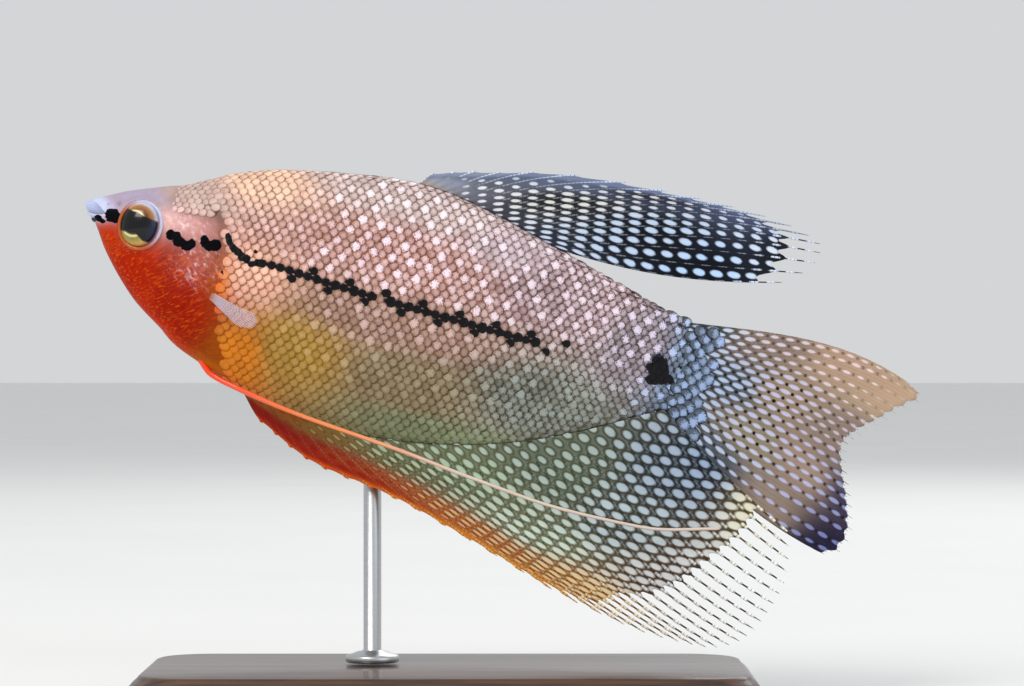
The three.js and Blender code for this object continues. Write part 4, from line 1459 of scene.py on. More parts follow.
@dataclass
class Skin:
    """One sculpted skin over head and trunk, which stands for the flesh nodes."""

    body: Body
    relief: Relief
    marks: Markings
    pose: Pose
    rings: int = 330
    around: int = 200
    lips: tuple = (
        ((2.7, 1.6, -0.1), (0.35, 0, 0.55), 0.8, 0.35, "#C2CEEE"),
        ((2.9, 1.45, -0.75), (1.25, 0, -0.98), 0.5, 0.35, "#363A4A"),
    )

    def face_paint(self, x: Array, z: Array) -> Array:
        """Paint the bare skin of the head and the ground below the scales.

        Args:
            x: Places along the fish.
            z: Heights in the fish's frame.

        Returns:
            Linear rows.
        """
        net, scale, pearl = self.marks.colours(x, z)
        # The ground takes the scales' colour on the bare head, and along the belly's edge as painted light
        # against the shade under the belly.
        bare = np.maximum(1 - step(x, 9.5, 13.5), self.body.keel(x, z))
        colour = mixed(net, scale, bare * 0.9)
        # A painted highlight, a pale pink sheen painted behind the eye, and a rosy patch on the gill cover.
        painted_sheen = hump(x, 12.8, 2.6) * hump(z, 1.4, 1.3)
        colour = mixed(colour, linear("#F8E2E6"), 0.75 * painted_sheen * (0.5 + 0.5 * ripple(x * 2.2, z * 2.4, 5.0)))
        gill = hump(x, 16.4, 2.5) * hump(z, -3.0, 2.5)
        return mixed(colour, linear("#D07E78"), 0.8 * gill * (0.6 + 0.4 * ripple(x * 1.5, z * 1.9, 9.0)))

    @staticmethod
    def textures(x: Array, z: Array) -> dict[str, Array]:
        """Say where the throat's streaks show and where pale specks are painted as highlights on the gill
        cover and behind the eye.

        Args:
            x: Places along the fish.
            z: Heights in the fish's frame.

        Returns:
            The two amounts by name.
        """
        throat = step(-z, 1.0, 3.5) * (1 - step(x, 17, 23))
        gill = hump(x, 16.4, 2.7) * hump(z, -3.2, 2.8)
        painted_sheen = hump(x, 13.4, 3.2) * hump(z, 1.4, 1.2)
        return {"streaks": throat, "painted_highlight_flecks": np.clip(0.75 * gill + 0.9 * painted_sheen, 0, 1)}

    def loft(self) -> Shape:
        """Make the sculpted skin.

        Returns:
            The shape.
        """
        x = BODY_LENGTH * np.linspace(0, 1, self.rings) ** 1.32
        angle = np.linspace(0, 2 * np.pi, self.around, endpoint=False)
        grid_x, grid_a = np.meshgrid(x, angle, indexing="ij")
        inset = COAT_DEPTH * step(grid_x, 9.0, 13.0)
        plain = self.body.surface(grid_x, grid_a)
        around = np.roll(plain, -1, axis=1) - np.roll(plain, 1, axis=1)
        normal = self.body.outward(np.cross(around, np.gradient(plain, axis=0)), plain)
        lift = np.empty(grid_x.shape)
        for side in Side:
            mine = (np.cos(grid_a) * side.value) >= 0
            lift[mine] = self.relief.at(plain[mine], side)[0]
        edge = step(np.abs(plain[..., 1]), 0.1, 0.8)
        points = plain + normal * (lift * edge - inset)[..., None]
        colour = self.face_paint(points[..., 0], points[..., 2])
        # The skin closes in a point at the snout and another in the root of the tail fin.
        tip = np.array([[-0.12, 0, 0.15], [BODY_LENGTH + 0.05, 0, 0.25]])
        flat = np.concatenate([points.reshape(-1, 3), tip])
        paint = np.concatenate([colour.reshape(-1, 3), colour[0, :1], colour[-1, :1]])
        faces = [face[::-1] for face in closed_faces(self.rings, self.around)]
        dark = self.marks.dark(flat[:, 0], flat[:, 2])
        values = {"paint": opaque(paint), "dark": dark} | self.textures(flat[:, 0], flat[:, 2])
        return Shape(self.pose.placed(flat), faces, values)

    def lip(self, corner: tuple, front: tuple, radius: float, thin: float, tint: str) -> Shape:
        """Make one lip: a tube that runs from a corner of the mouth round the front to the other.

        Args:
            corner: The left or right corner.
            front: The middle of the lip.
            radius: How thick it is at the front.
            thin: How thick it is at the corners, as a share.
            tint: Its colour.

        Returns:
            The shape.
        """
        t = np.linspace(-1, 1, 41)
        a, b = np.array(corner, float), np.array(front, float)
        path = np.stack([b[0] + (a[0] - b[0]) * t ** 2, a[1] * np.sin(t * np.pi / 2),
                         b[2] + (a[2] - b[2]) * t ** 2], axis=-1)
        size = radius * (thin + (1 - thin) * np.cos(t * np.pi / 2) ** 0.7)
        size[[0, -1]] = 0.02
        colour = np.tile(linear(tint), (len(t), 1))
        dusk = mixed(colour, linear("#3A3C4A"), 0.5 * np.abs(t) ** 2)
        none = np.zeros(len(t))
        values = {"paint": opaque(dusk), "dark": none, "streaks": none, "painted_highlight_flecks": none}
        return tube(self.pose, path, size, 20, values)

    def build(self) -> None:
        """Build the skin with its lips and dress it."""
        mesh = Shape.joined([self.loft()] + [self.lip(*lip) for lip in self.lips]).mesh("skin")
        Piece.add("skin", mesh, SkinFinish().make(), "skin",
                  ("head", "gill_cover_left", "gill_cover_right", "trunk", "tail_stalk"))


def tube(pose: Pose, path: Array, radius: Array, sides: int, values: dict[str, Array]) -> Shape:
    """Run a closed tube along a path in the fish's frame.

    Args:
        pose: The fish's pose.
        path: Rows of x, y, z in mm.
        radius: The radius at each.
        sides: How many sides it has.
        values: Named values along the path.

    Returns:
        The shape.
    """
    along = unit_rows(np.gradient(path, axis=0))
    guide = np.array([0.0, 0.0, 1.0]) if abs(along[:, 2]).mean() < 0.9 else np.array([0.0, 1.0, 0.0])
    across = unit_rows(np.cross(along, guide))
    up = np.cross(across, along)
    angle = np.linspace(0, 2 * np.pi, sides, endpoint=False)[None, :, None]
    ring = across[:, None] * np.cos(angle) + up[:, None] * np.sin(angle)
    points = (path[:, None] + ring * np.asarray(radius)[:, None, None]).reshape(-1, 3)
    points = np.concatenate([points, path[:1], path[-1:]])
    kept = {key: np.concatenate([np.repeat(v, sides, axis=0), v[:1], v[-1:]]) for key, v in values.items()}
    return Shape(pose.placed(points), closed_faces(len(path), sides), kept)


@dataclass(frozen=True)
class EyeFinish:
    """A living eye: a clear wet cornea over a painted iris, so it mirrors the lamps sharply."""

    name: str = "wet_cornea_over_iris"
    streak_mm: float = 0.35

    def make(self) -> bpy.types.Material:
        """Build the material.

        Returns:
            The material, which reads the painted colour and the place on the iris.
        """
        paint = Paint(self.name, roughness=0.24, coat=0.35, ior=1.3, coat_roughness=0.02)
        base = paint.tint("paint")
        along, out, up = paint.parts("on_iris")
        # The streaks run from the pupil to the rim.
        radial = paint.node("CombineXYZ", X=paint.times(paint.math("ARCTAN2", up, along), 9.0),
                            Y=paint.times(paint.math("ABSOLUTE", out), 2.0))
        streaks = paint.node("TexNoise", Vector=radial, Scale=1.6, Detail=3.0).outputs[0]
        shaded = paint.blend(paint.times(streaks, 0.75), base, four("#6E5A30"), "OVERLAY")
        grain = paint.noise(self.streak_mm)
        paint.colour(paint.blend(paint.times(grain, 0.3), shaded, four("#FFFFFF"), "SOFT_LIGHT"))
        paint.rough(grain, 0.16, 0.3)
        return paint.material


@dataclass
class Eyes:
    """Both eyeballs and the skin rings round them."""

    body: Body
    eye: Eye
    pose: Pose

    def iris(self, unit: Array) -> Array:
        """Paint the iris, the pupil and the dark band across it.

        Args:
            unit: Points on a ball of radius 1: along, outwards, up.

        Returns:
            Linear rows.
        """
        u, w = unit[:, 0], unit[:, 2]
        r = np.hypot(u, w)
        pupil = np.hypot((u + 0.18) / 0.5, w / 0.45)
        # Brown above and gold below, with a bright line round the pupil and a rim that is painted silvery
        # where it faces up and back, a painted highlight.
        top = mixed(linear("#6A300C"), linear("#C08C50"), step(r, 0.5, 0.9))
        low = mixed(linear("#84863A"), linear("#D8BC6C"), step(r + 0.25 * u, 0.5, 0.95))
        colour = mixed(low, top, step(w, -0.1, 0.1))
        colour = mixed(colour, linear("#FFF0C4"), hump(pupil, 1.2, 0.09) * step(np.abs(w), 0.3, 0.42))
        # Painted highlight: the rim is painted silvery on the side that faces up and back.
        light = np.clip(0.45 + 0.4 * u + 0.4 * w, 0, 1)
        rim = step(r, 0.88 - 0.12 * light, 0.98 - 0.08 * light)
        colour = mixed(colour, mixed(linear("#C08858"), linear("#CACEE2"), step(light, 0.2, 0.7)), rim)
        # The fish's dark stripe crosses the eye.
        above = 0.45 - 0.15 * u - w
        below = w + 0.43 + 0.2 * step(u, 0.08, 0.5)
        band = step(np.minimum(above, below), -0.03, 0.03) * (1 - step(r, 0.9, 0.96))
        colour = mixed(colour, mixed(linear("#020205"), linear("#141C40"), step(u, 0.35, 0.85)), band)
        return mixed(colour, linear("#010102"), 1 - step(pupil, 0.98, 1.06))

    def ring(self, side: Side) -> Shape:
        """Make the ring of skin round one eye.

        Args:
            side: Which eye.

        Returns:
            The shape.
        """
        rows, columns, wider = 96, 14, 1.01
        t = np.linspace(0, 2 * np.pi, rows, endpoint=False)
        x = self.eye.x + self.eye.wide * wider * np.cos(t)
        z = self.eye.z + self.eye.tall * wider * np.sin(t)
        y = side.value * (self.body.flank(x, z) + 0.02)
        path = np.stack([x, y, z], axis=-1)
        away = unit_rows(path - path.mean(axis=0))[:, None]
        out = np.array([0.0, float(side.value), 0.0])
        angle = np.linspace(0, 2 * np.pi, columns, endpoint=False)[None, :, None]
        ring = away * np.cos(angle) + out * np.sin(angle) * 0.9
        points = (path[:, None] + ring * self.eye.rim).reshape(-1, 3)
        faces = [tuple(v % len(points) for v in face) for face in grid_faces(rows + 1, columns, True)]
        if side is Side.LEFT:
            faces = [face[::-1] for face in faces]
        # The ring is painted silvery on its upper back side, a painted highlight, over its orange colour.
        light = np.clip(0.5 + 0.35 * np.cos(t) + 0.4 * np.sin(t), 0, 1)
        colour = mixed(linear("#B4602E"), linear("#C0C4DA"), step(light, 0.3, 0.9))
        return Shape(self.pose.placed(points), faces, {"paint": opaque(np.repeat(colour, columns, axis=0))})

    def build(self) -> None:
        """Build both eyes and dress them."""
        finish, skin = EyeFinish().make(), SkinFinish("wet_eye_ring_skin", roughness=0.3, coat=0.5).make()
        for side in Side:
            points, faces, unit = self.eye.ball(self.body, side)
            values = {"paint": opaque(self.iris(unit)), "on_iris": unit}
            name = side.name.lower()
            mesh = Shape(self.pose.placed(points), faces, values).mesh("eyeball_" + name)
            Piece.add("eyeball_" + name, mesh, finish, "eye", ("eye_" + name,))
            Piece.add("eye_ring_" + name, self.ring(side).mesh("eye_ring_" + name), skin, "skin")


@dataclass(frozen=True)
class FinFinish:
    """Fin membrane: thin wet skin stretched on rays, dark pigment with pale oval windows."""

    name: str
    pitch_mm: float
    long_mm: float
    wide_mm: float
    web: float = 0.0
    dot_mm: float = 0.24
    coat: float = 0.02
    seed: float = 0.0

    def make(self) -> bpy.types.Material:
        """Build the material.

        Returns:
            The material, which reads the place on the fin: the ray's number, how many mm it is from the
            root and how many mm apart the rays are.
        """
        paint = Paint(self.name, roughness=0.42, coat=self.coat, ior=1.2)
        ray, along, gap = paint.parts("on_fin")
        wander = paint.math("MULTIPLY_ADD", paint.noise(1.1, 2.0), 0.5, -0.25)
        # Pale ovals lie between the rays, half a step on in every other gap.
        cell = paint.math("FLOOR", ray)
        half = paint.times(paint.math("MODULO", cell, 2.0), 0.5)
        lane = paint.plus(paint.math("DIVIDE", along, self.pitch_mm), half)
        lane = paint.plus(lane, paint.times(wander, 0.35))
        aside = paint.times(paint.minus(paint.math("FRACT", ray), 0.5), gap)
        room = paint.math("MINIMUM", paint.times(gap, 0.42), self.wide_mm / 2)
        amount = paint.read("spots")
        grown = paint.math("MULTIPLY_ADD", amount, 0.6, 0.4)
        middle = paint.minus(paint.math("FRACT", lane), 0.5)
        over = paint.math("DIVIDE", aside, paint.times(room, grown))
        down = paint.math("DIVIDE", paint.times(middle, self.pitch_mm), paint.times(grown, self.long_mm / 2))
        key = paint.node("CombineXYZ", X=cell, Y=paint.math("FLOOR", lane), Z=self.seed)
        luck = paint.node("TexWhiteNoise", {"noise_dimensions": "3D"}, Vector=key)
        far = paint.plus(paint.length(over, down), paint.times(paint.minus(luck, 0.5), 0.25))
        far = paint.plus(far, paint.times(wander, 0.5))
        spot = paint.times(paint.minus(1.0, paint.fade(far, 0.62, 1.12)), paint.fade(amount, 0.05, 0.4))
        # Between the spots the membrane is paler, on a fin with a pale web.
        pale = paint.tint("pearl_paint")
        web = paint.times(paint.fade(far, 1.15, 1.6), self.web)
        shown = paint.blend(spot, paint.blend(web, paint.tint("net_paint"), pale), pale)
        toned = paint.blend(paint.times(paint.noise(2.2, 4.0), 0.3), shown, four("#807468"), "OVERLAY")
        # Small dark dots lie between the ovals of the tail fin.
        ahead = paint.times(paint.minus(0.5, paint.math("ABSOLUTE", middle)), self.pitch_mm)
        dot = paint.fade(paint.length(aside, ahead), self.dot_mm * 0.75, self.dot_mm * 1.2)
        dot = paint.times(paint.minus(1.0, dot), paint.read("dots"))
        paint.colour(paint.blend(dot, toned, four("#0B0A10")))
        solid = paint.times(paint.math("MAXIMUM", spot, dot), 0.95)
        paint.feed(paint.shader.inputs["Alpha"], paint.math("MAXIMUM", paint.read("cover"), solid))
        paint.rough(paint.noise(0.8), 0.28, 0.5)
        fine = paint.math("SINE", paint.times(ray, 2 * math.pi * 3))
        paint.relief(paint.plus(paint.times(fine, 0.4), paint.noise(0.4, 2.0)), 0.05, 0.5)
        return paint.material


@dataclass(frozen=True)
class RayFinish:
    """A fin ray: jointed horny rod under thin skin, banded where the fin is."""

    name: str
    joint_mm: float = 0.55
    coat: float = 0.06

    def make(self) -> bpy.types.Material:
        """Build the material.

        Returns:
            The material, which reads the mm from the root and the ray's two colours.
        """
        paint = Paint(self.name, roughness=0.36, coat=self.coat, ior=1.3)
        along = paint.parts("on_ray")[1]
        shown = paint.blend(paint.read("bands"), paint.tint("net_paint"),
                            paint.tint("pearl_paint"))
        joints = paint.math("SINE", paint.times(along, 2 * math.pi / self.joint_mm))
        paint.colour(paint.blend(paint.fade(joints, 0.75, 1.0), shown, four("#9C9288"), "MULTIPLY"))
        paint.rough(paint.noise(0.6, 2.0), 0.25, 0.45)
        paint.relief(joints, 0.03, 0.5)
        return paint.material


@dataclass(frozen=True)
class Ink:
    """Colours along a fin: dark ground and pale spots, at a place from the front ray to the last."""

    u: float
    s: float
    net: str
    pearl: str
    spots: float
    cover: float
    dots: float = 0.0


@dataclass
class Fin:
    """A median fin: rays that curve back from the body, with a membrane between them.

    The curves give, for each ray, its tip, the angles at which it leaves the body and reaches its tip, and
    the share of it that the membrane covers. Lengths are in mm.
    """

    name: str
    node: str
    pose: Pose
    body: Body
    rays: int
    tips: Profile
    leave: Profile
    arrive: Profile
    membrane: Profile
    pull: tuple[float, float]
    inks: tuple[Ink, ...]
    pitch_mm: float
    long_mm: float
    wide_mm: float
    band_mm: float
    ray_radius: float
    root_half: float
    between: int = 5
    rows: int = 60
    skin_half: float = 0.07
    web: float = 0.0
    scallop: float = 0.04
    split: int = 1
    ray_shade: float = 0.8
    ray_light: float = 0.55
    ray_rows: int = 150
    bead: float = 0.5

    def root(self, u: Array) -> Array:
        """Give the root line. Each fin gives its own."""
        raise NotImplementedError

    def sway(self, x: Array) -> Array:
        """Give the sideways bend. Each fin gives its own."""
        raise NotImplementedError

    def points(self, u: Array, s: Array) -> Array:
        """Give points on the fin's middle sheet.

        Args:
            u: Places from the first ray, 0, to the last, 1.
            s: Shares along a ray.

        Returns:
            Rows of x, y, z in mm.
        """
        u, s = np.broadcast_arrays(np.asarray(u, float), np.asarray(s, float))
        base = self.root(u)
        tip = np.stack([self.tips.at(u, 1), 0 * u, self.tips.at(u, 2)], axis=-1)
        length = np.linalg.norm(tip - base, axis=-1, keepdims=True)
        ways = []
        for angles, pull in ((self.leave, self.pull[0]), (self.arrive, self.pull[1])):
            deg = np.radians(angles.at(u))
            ways.append(np.stack([np.cos(deg), 0 * u, np.sin(deg)], axis=-1) * length * pull)
        t = s[..., None]
        curve = ((1 - t) ** 3 * base + 3 * (1 - t) ** 2 * t * (base + ways[0])
                 + 3 * (1 - t) * t ** 2 * (tip - ways[1]) + t ** 3 * tip)
        curve[..., 1] += self.sway(curve[..., 0])
        return curve

    def half_at(self, far: Array) -> Array:
        """Give half the membrane's thickness at a distance from the root in mm."""
        return self.skin_half + (self.root_half - self.skin_half) * (1 - step(far, 0.0, 4.0))

    def ink(self, u: Array, s: Array) -> dict[str, Array]:
        """Blend the fin's colours.

        Args:
            u: Places from the first ray to the last.
            s: Shares along a ray.

        Returns:
            The ground, the spots' colour, how much the spots show and how solid the membrane is.
        """
        u, s = u[..., None], s[..., None]
        ink_u, ink_s = np.array([(ink.u, ink.s) for ink in self.inks]).T
        weights = 1 / (0.006 + (u - ink_u) ** 2 + (0.8 * (s - ink_s)) ** 2) ** 2
        rows = [[*linear(ink.net), *linear(ink.pearl), ink.spots, ink.cover, ink.dots] for ink in self.inks]
        found = average(weights, np.array(rows))
        return {"net_paint": opaque(found[..., :3]), "pearl_paint": opaque(found[..., 3:6]),
                "spots": found[..., 6], "cover": found[..., 7], "dots": found[..., 8]}

    def membrane_shape(self) -> Shape:
        """Make the membrane as a thin closed sheet, thicker at its root.

        Returns:
            The shape.
        """
        columns = (self.rays - 1) * self.between + 1
        u = np.linspace(0, 1, columns)
        t = np.linspace(0, 1, self.rows)
        beside = np.sin(np.linspace(0, self.rays - 1, columns) * np.pi) ** 2
        edge = self.membrane.at(u) * (1 - self.scallop * beside)
        grid_u, grid_t = np.meshgrid(u, t, indexing="ij")
        grid_s = grid_t * edge[:, None]
        middle = self.points(grid_u, grid_s)
        lengths = lengths_along(middle)
        half = self.half_at(lengths) * (1 - 0.25 * beside[:, None])
        half[:, -1] *= 0.35
        points, faces = sheet(middle, np.array([0, 1, 0]) * half[..., None])
        number = grid_u * (self.rays - 1)
        ways = unit_rows(np.gradient(middle, axis=1))
        gap = np.linalg.norm(np.cross(np.gradient(middle, axis=0), ways), axis=-1) * self.between
        values = {"on_fin": np.stack([number, lengths, gap], axis=-1)} | self.ink(grid_u, grid_s)
        values = {key: value.reshape(number.size, *value.shape[2:]) for key, value in values.items()}
        return Shape(self.pose.placed(points), faces, both_faces(values))

    def ray_lines(self) -> tuple[Shape, list]:
        """Set out the rays as lines for the Geometry Nodes.

        Returns:
            The points with each ray's values, and the edges.
        """
        count = (self.rays - 1) * self.split + 1
        u = np.linspace(0, 1, count)
        s = np.linspace(0, 1, self.ray_rows)
        grid_u, grid_s = np.meshgrid(u, s, indexing="ij")
        # The rays between the whole ones are branches, which start a quarter of the way out.
        branch = np.arange(count) % self.split != 0
        last = np.where(branch, self.membrane.at(u), 1.0)[:, None]
        grid_s = np.where(branch[:, None], 0.25 + (last - 0.25) * grid_s, grid_s)
        middle = self.points(grid_u, grid_s)
        lengths = lengths_along(middle)
        number = np.broadcast_to(np.arange(count)[:, None], grid_u.shape)
        # Past the edge of the membrane the ray is beaded and pale where its bands are.
        past = step(grid_s - self.membrane.at(grid_u), -0.2, -0.02)
        band = step(np.sin(2 * np.pi * (lengths / self.band_mm + 0.5 * (number % 2))), -0.25, 0.15)
        radius = self.ray_radius * (1 - 0.4 * grid_s) * (1 - 0.6 * step(grid_s, 0.95, 1.0))
        radius = radius * np.where(branch, 0.7, 1.0)[:, None] * (1 + past * (0.15 + self.bead * band))
        ink = self.ink(grid_u, grid_s)
        net, pearl = ink["net_paint"], ink["pearl_paint"]
        plain = self.ray_light * (1 - step(ink["spots"], 0.0, 0.6))
        net[..., :3] = mixed(net[..., :3] * self.ray_shade, pearl[..., :3], plain)
        values = {
            "thickness": (radius * MM).ravel(),
            "on_ray": np.stack([number, lengths, grid_s], axis=-1).reshape(-1, 3),
            "net_paint": net.reshape(-1, 4), "pearl_paint": pearl.reshape(-1, 4),
            "bands": (band * step(ink["spots"], 0.1, 0.6) * (0.25 + 0.75 * past)).ravel(),
        }
        return Shape(self.pose.placed(middle.reshape(-1, 3)), [], values), line_edges(count, self.ray_rows)

    def build(self, ray_tree: bpy.types.NodeTree) -> None:
        """Build the membrane and the rays and dress them.

        Args:
            ray_tree: The Geometry Nodes that turn lines to rays.
        """
        name = self.name + "_membrane"
        finish = FinFinish(name, self.pitch_mm, self.long_mm, self.wide_mm, self.web).make()
        Piece.add(name, self.membrane_shape().mesh(name), finish, "fin", (self.node,))
        rays = RayFinish(self.name + "_horny_rays").make()
        lines, edges = self.ray_lines()
        mesh = Grove.grown(lines, self.name + "_rays", ray_tree, {"Sides": 6, "Finish": rays}, edges)
        Piece.add(self.name + "_rays", mesh, rays, "fin")


def ray_tree() -> bpy.types.NodeTree:
    """Build the Geometry Nodes that turn lines to tapered rays.

    Returns:
        The node group.
    """
    grow = Grove("fin_rays", {"Lines": "Geometry", "Sides": "Int", "Finish": "Material"}, "Rays")
    curves = grow.node("GeometryNodeMeshToCurve", Mesh=grow.given["Lines"])
    profile = grow.node("GeometryNodeCurvePrimitiveCircle", Resolution=grow.given["Sides"], Radius=1.0)
    rays = grow.node("GeometryNodeCurveToMesh", Curve=curves, Profile_Curve=profile, Fill_Caps=True,
                     Scale=grow.named("thickness", "FLOAT"))
    return grow.finish(rays)


class DorsalFin(Fin):
    """The fin on the back."""

    def root(self, u: Array) -> Array:
        """Follow the back from the first ray to the last."""
        x = 42.0 + 20.0 * u
        return np.stack([x, 0 * x, self.body.back.at(x) - 0.1], axis=-1)

    def sway(self, x: Array) -> Array:
        """Bend a little to the right towards the tips."""
        return 1.6 * np.clip((x - 60) / 36, 0, None) ** 2


class AnalFin(Fin):
    """The long fin under the belly."""

    def root(self, u: Array) -> Array:
        """Follow the belly from the breast to the tail."""
        x = 26.6 + 54.9 * u
        return np.stack([x, 0 * x, self.body.belly.at(x) + 0.1], axis=-1)

    def sway(self, x: Array) -> Array:
        """Bend a little to the left towards the tips."""
        return -1.8 * np.clip((x - 66) / 36, 0, None) ** 2


class TailFin(Fin):
    """The tail fin."""

    def root(self, u: Array) -> Array:
        """Run down the end of the tail stalk."""
        return np.stack([81.9 + 0 * u, 0 * u, 6.1 - 12.3 * u], axis=-1)

    def sway(self, x: Array) -> Array:
        """Bend a little to the right towards the tips."""
        return 1.9 * np.clip((x - BODY_LENGTH) / 33, 0, None) ** 2


@dataclass(frozen=True)
class Fins:
    """The three median fins with their sizes."""

    body: Body
    pose: Pose

    def dorsal(self) -> Fin:
        """Give the fin on the back.

        Returns:
            The fin.
        """
        inks = (
            Ink(0.0, 0.1, "#A89C94", "#E0DCE0", 0.0, 1.0), Ink(0.0, 0.9, "#94A2C0", "#DCE6FA", 0.0, 0.7),
            Ink(0.12, 0.25, "#9098AE", "#E4EAF8", 0.0, 1.0),
            Ink(0.12, 0.8, "#8896B4", "#D8E2F8", 0.0, 0.65), Ink(0.28, 0.3, "#5C606C", "#E0E2EC", 0.5, 1.0),
            Ink(0.3, 0.6, "#5A6680", "#D0D8E8", 0.3, 0.95), Ink(0.3, 0.82, "#7484AA", "#CCDAF6", 0.0, 0.7),
            Ink(0.5, 0.3, "#1C1E24", "#DCDCDA", 0.85, 1.0), Ink(0.5, 0.72, "#1E2230", "#D4D2D4", 0.7, 1.0),
            Ink(0.42, 0.92, "#7080A8", "#C4D4F4", 0.0, 0.72),
            Ink(0.56, 0.93, "#66769E", "#BCD0F4", 0.1, 0.78),
            Ink(0.68, 0.93, "#3C4664", "#C4D2EE", 0.35, 0.85),
            Ink(0.8, 0.4, "#0A0E18", "#C0D2EA", 0.95, 1.0),
            Ink(0.84, 0.92, "#0C0D14", "#DCE8F8", 0.85, 0.95),
            Ink(1.0, 0.6, "#060A14", "#BCD8FC", 0.95, 1.0),
        )
        tips = Profile((
            (0, 43.6, 16.6), (0.06, 46.3, 17.6), (0.12, 49, 18.4), (0.18, 52.5, 19.2), (0.24, 57, 20.4),
            (0.29, 61.8, 21.3), (0.34, 67.3, 22), (0.4, 73.4, 22.4), (0.47, 79, 22.6), (0.54, 84.5, 22.7),
            (0.61, 89.5, 22.5), (0.68, 93.3, 21.9), (0.76, 96, 21), (0.84, 96.4, 19.4), (0.92, 95.4, 17.2),
            (1, 92.4, 14.6),
        ))
        return DorsalFin(
            "dorsal", "dorsal_fin", self.pose, self.body, rays=18, tips=tips,
            leave=Profile(((0, 46), (0.15, 38), (0.3, 31), (0.5, 25), (0.76, 18), (0.88, 11), (1, -3))),
            arrive=Profile(((0, 34), (0.15, 27), (0.3, 16), (0.5, 8), (0.65, 3), (0.8, 3), (1, 15))),
            membrane=Profile(((0, 0.9), (0.25, 0.94), (0.5, 0.95), (0.75, 0.9), (1, 0.9))),
            pull=(0.4, 0.36), inks=inks, pitch_mm=2.35, long_mm=1.7, wide_mm=0.98, band_mm=2.3,
            ray_radius=0.14, root_half=0.55, scallop=0.05, ray_light=0.9)

    def anal(self) -> Fin:
        """Give the fin under the belly.

        Returns:
            The fin.
        """
        inks = (
            Ink(0.0, 0.3, "#841000", "#9C1C00", 0.0, 1.0), Ink(0.0, 0.95, "#BC2800", "#D44C10", 0.0, 1.0),
            Ink(0.1, 0.02, "#8A4410", "#A06024", 0.0, 1.0), Ink(0.1, 0.6, "#900E00", "#A41C00", 0.0, 1.0),
            Ink(0.06, 0.45, "#840600", "#960C00", 0.0, 1.0),
            Ink(0.16, 0.75, "#900A00", "#A21200", 0.0, 1.0),
            Ink(0.12, 0.97, "#CC3C00", "#E46C1C", 0.0, 1.0), Ink(0.2, 0.12, "#705018", "#A89458", 0.3, 1.0),
            Ink(0.2, 0.55, "#921C00", "#C07844", 0.1, 1.0),
            Ink(0.22, 0.96, "#D86C08", "#F0A848", 0.0, 0.95),
            Ink(0.33, 0.12, "#5E623E", "#B4C4A8", 0.6, 1.0),
            Ink(0.36, 0.55, "#A8500C", "#D4B888", 0.7, 1.0),
            Ink(0.36, 0.93, "#E08C1C", "#F0BC4C", 0.1, 0.9), Ink(0.5, 0.12, "#606A48", "#B8CCBA", 0.7, 1.0),
            Ink(0.55, 0.38, "#6A7050", "#D2E4D8", 0.9, 1.0), Ink(0.5, 0.68, "#965C18", "#E8D09C", 1.0, 1.0),
            Ink(0.5, 0.97, "#7C5A38", "#ECE4D0", 0.8, 0.8),
            Ink(0.72, 0.12, "#4C543E", "#AABCB4", 0.55, 1.0),
            Ink(0.75, 0.38, "#3C3C30", "#C0D0D8", 0.9, 1.0),
            Ink(0.7, 0.66, "#4A3624", "#D6D8DA", 0.95, 0.95),
            Ink(0.65, 0.95, "#0A0808", "#FAFAFC", 1.0, 0.9),
            Ink(0.85, 0.92, "#0A0808", "#FAFAFC", 1.0, 0.9),
            Ink(0.93, 0.3, "#242A2E", "#A6B6C8", 0.85, 1.0),
            Ink(1.0, 0.35, "#0C1018", "#98B0D0", 0.75, 1.0), Ink(1.0, 0.8, "#5C5030", "#E8E4CC", 0.9, 0.95),
        )
        tips = Profile((
            (0, 30, -21.6), (0.1, 38.5, -25.2), (0.2, 50, -26.9), (0.3, 63, -30.2), (0.4, 77, -34),
            (0.5, 88, -35.5), (0.6, 95, -35.2), (0.7, 99.6, -32.8), (0.8, 101.8, -28.6),
            (0.9, 102.9, -23.4), (1, 101.9, -17.6),
        ))
        leave = Profile((
            (0, -46), (0.1, -49), (0.2, -36), (0.3, -32), (0.4, -36), (0.55, -41), (0.9, -41), (1, -34),
        ))
        arrive = Profile((
            (0, -32), (0.1, -30), (0.2, -22), (0.3, -22), (0.4, -20), (0.5, -15), (0.8, -15), (1, -24),
        ))
        return AnalFin(
            "anal", "anal_fin", self.pose, self.body, rays=36, tips=tips, leave=leave, arrive=arrive,
            membrane=Profile((
                (0, 0.96), (0.3, 0.97), (0.4, 0.92), (0.5, 0.8), (0.6, 0.7), (0.8, 0.7), (1, 0.78),
            )),
            pull=(0.36, 0.34), inks=inks, pitch_mm=2.1, long_mm=1.95, wide_mm=1.5, band_mm=2.1,
            ray_radius=0.17, root_half=0.55, web=0.2, bead=0.8)

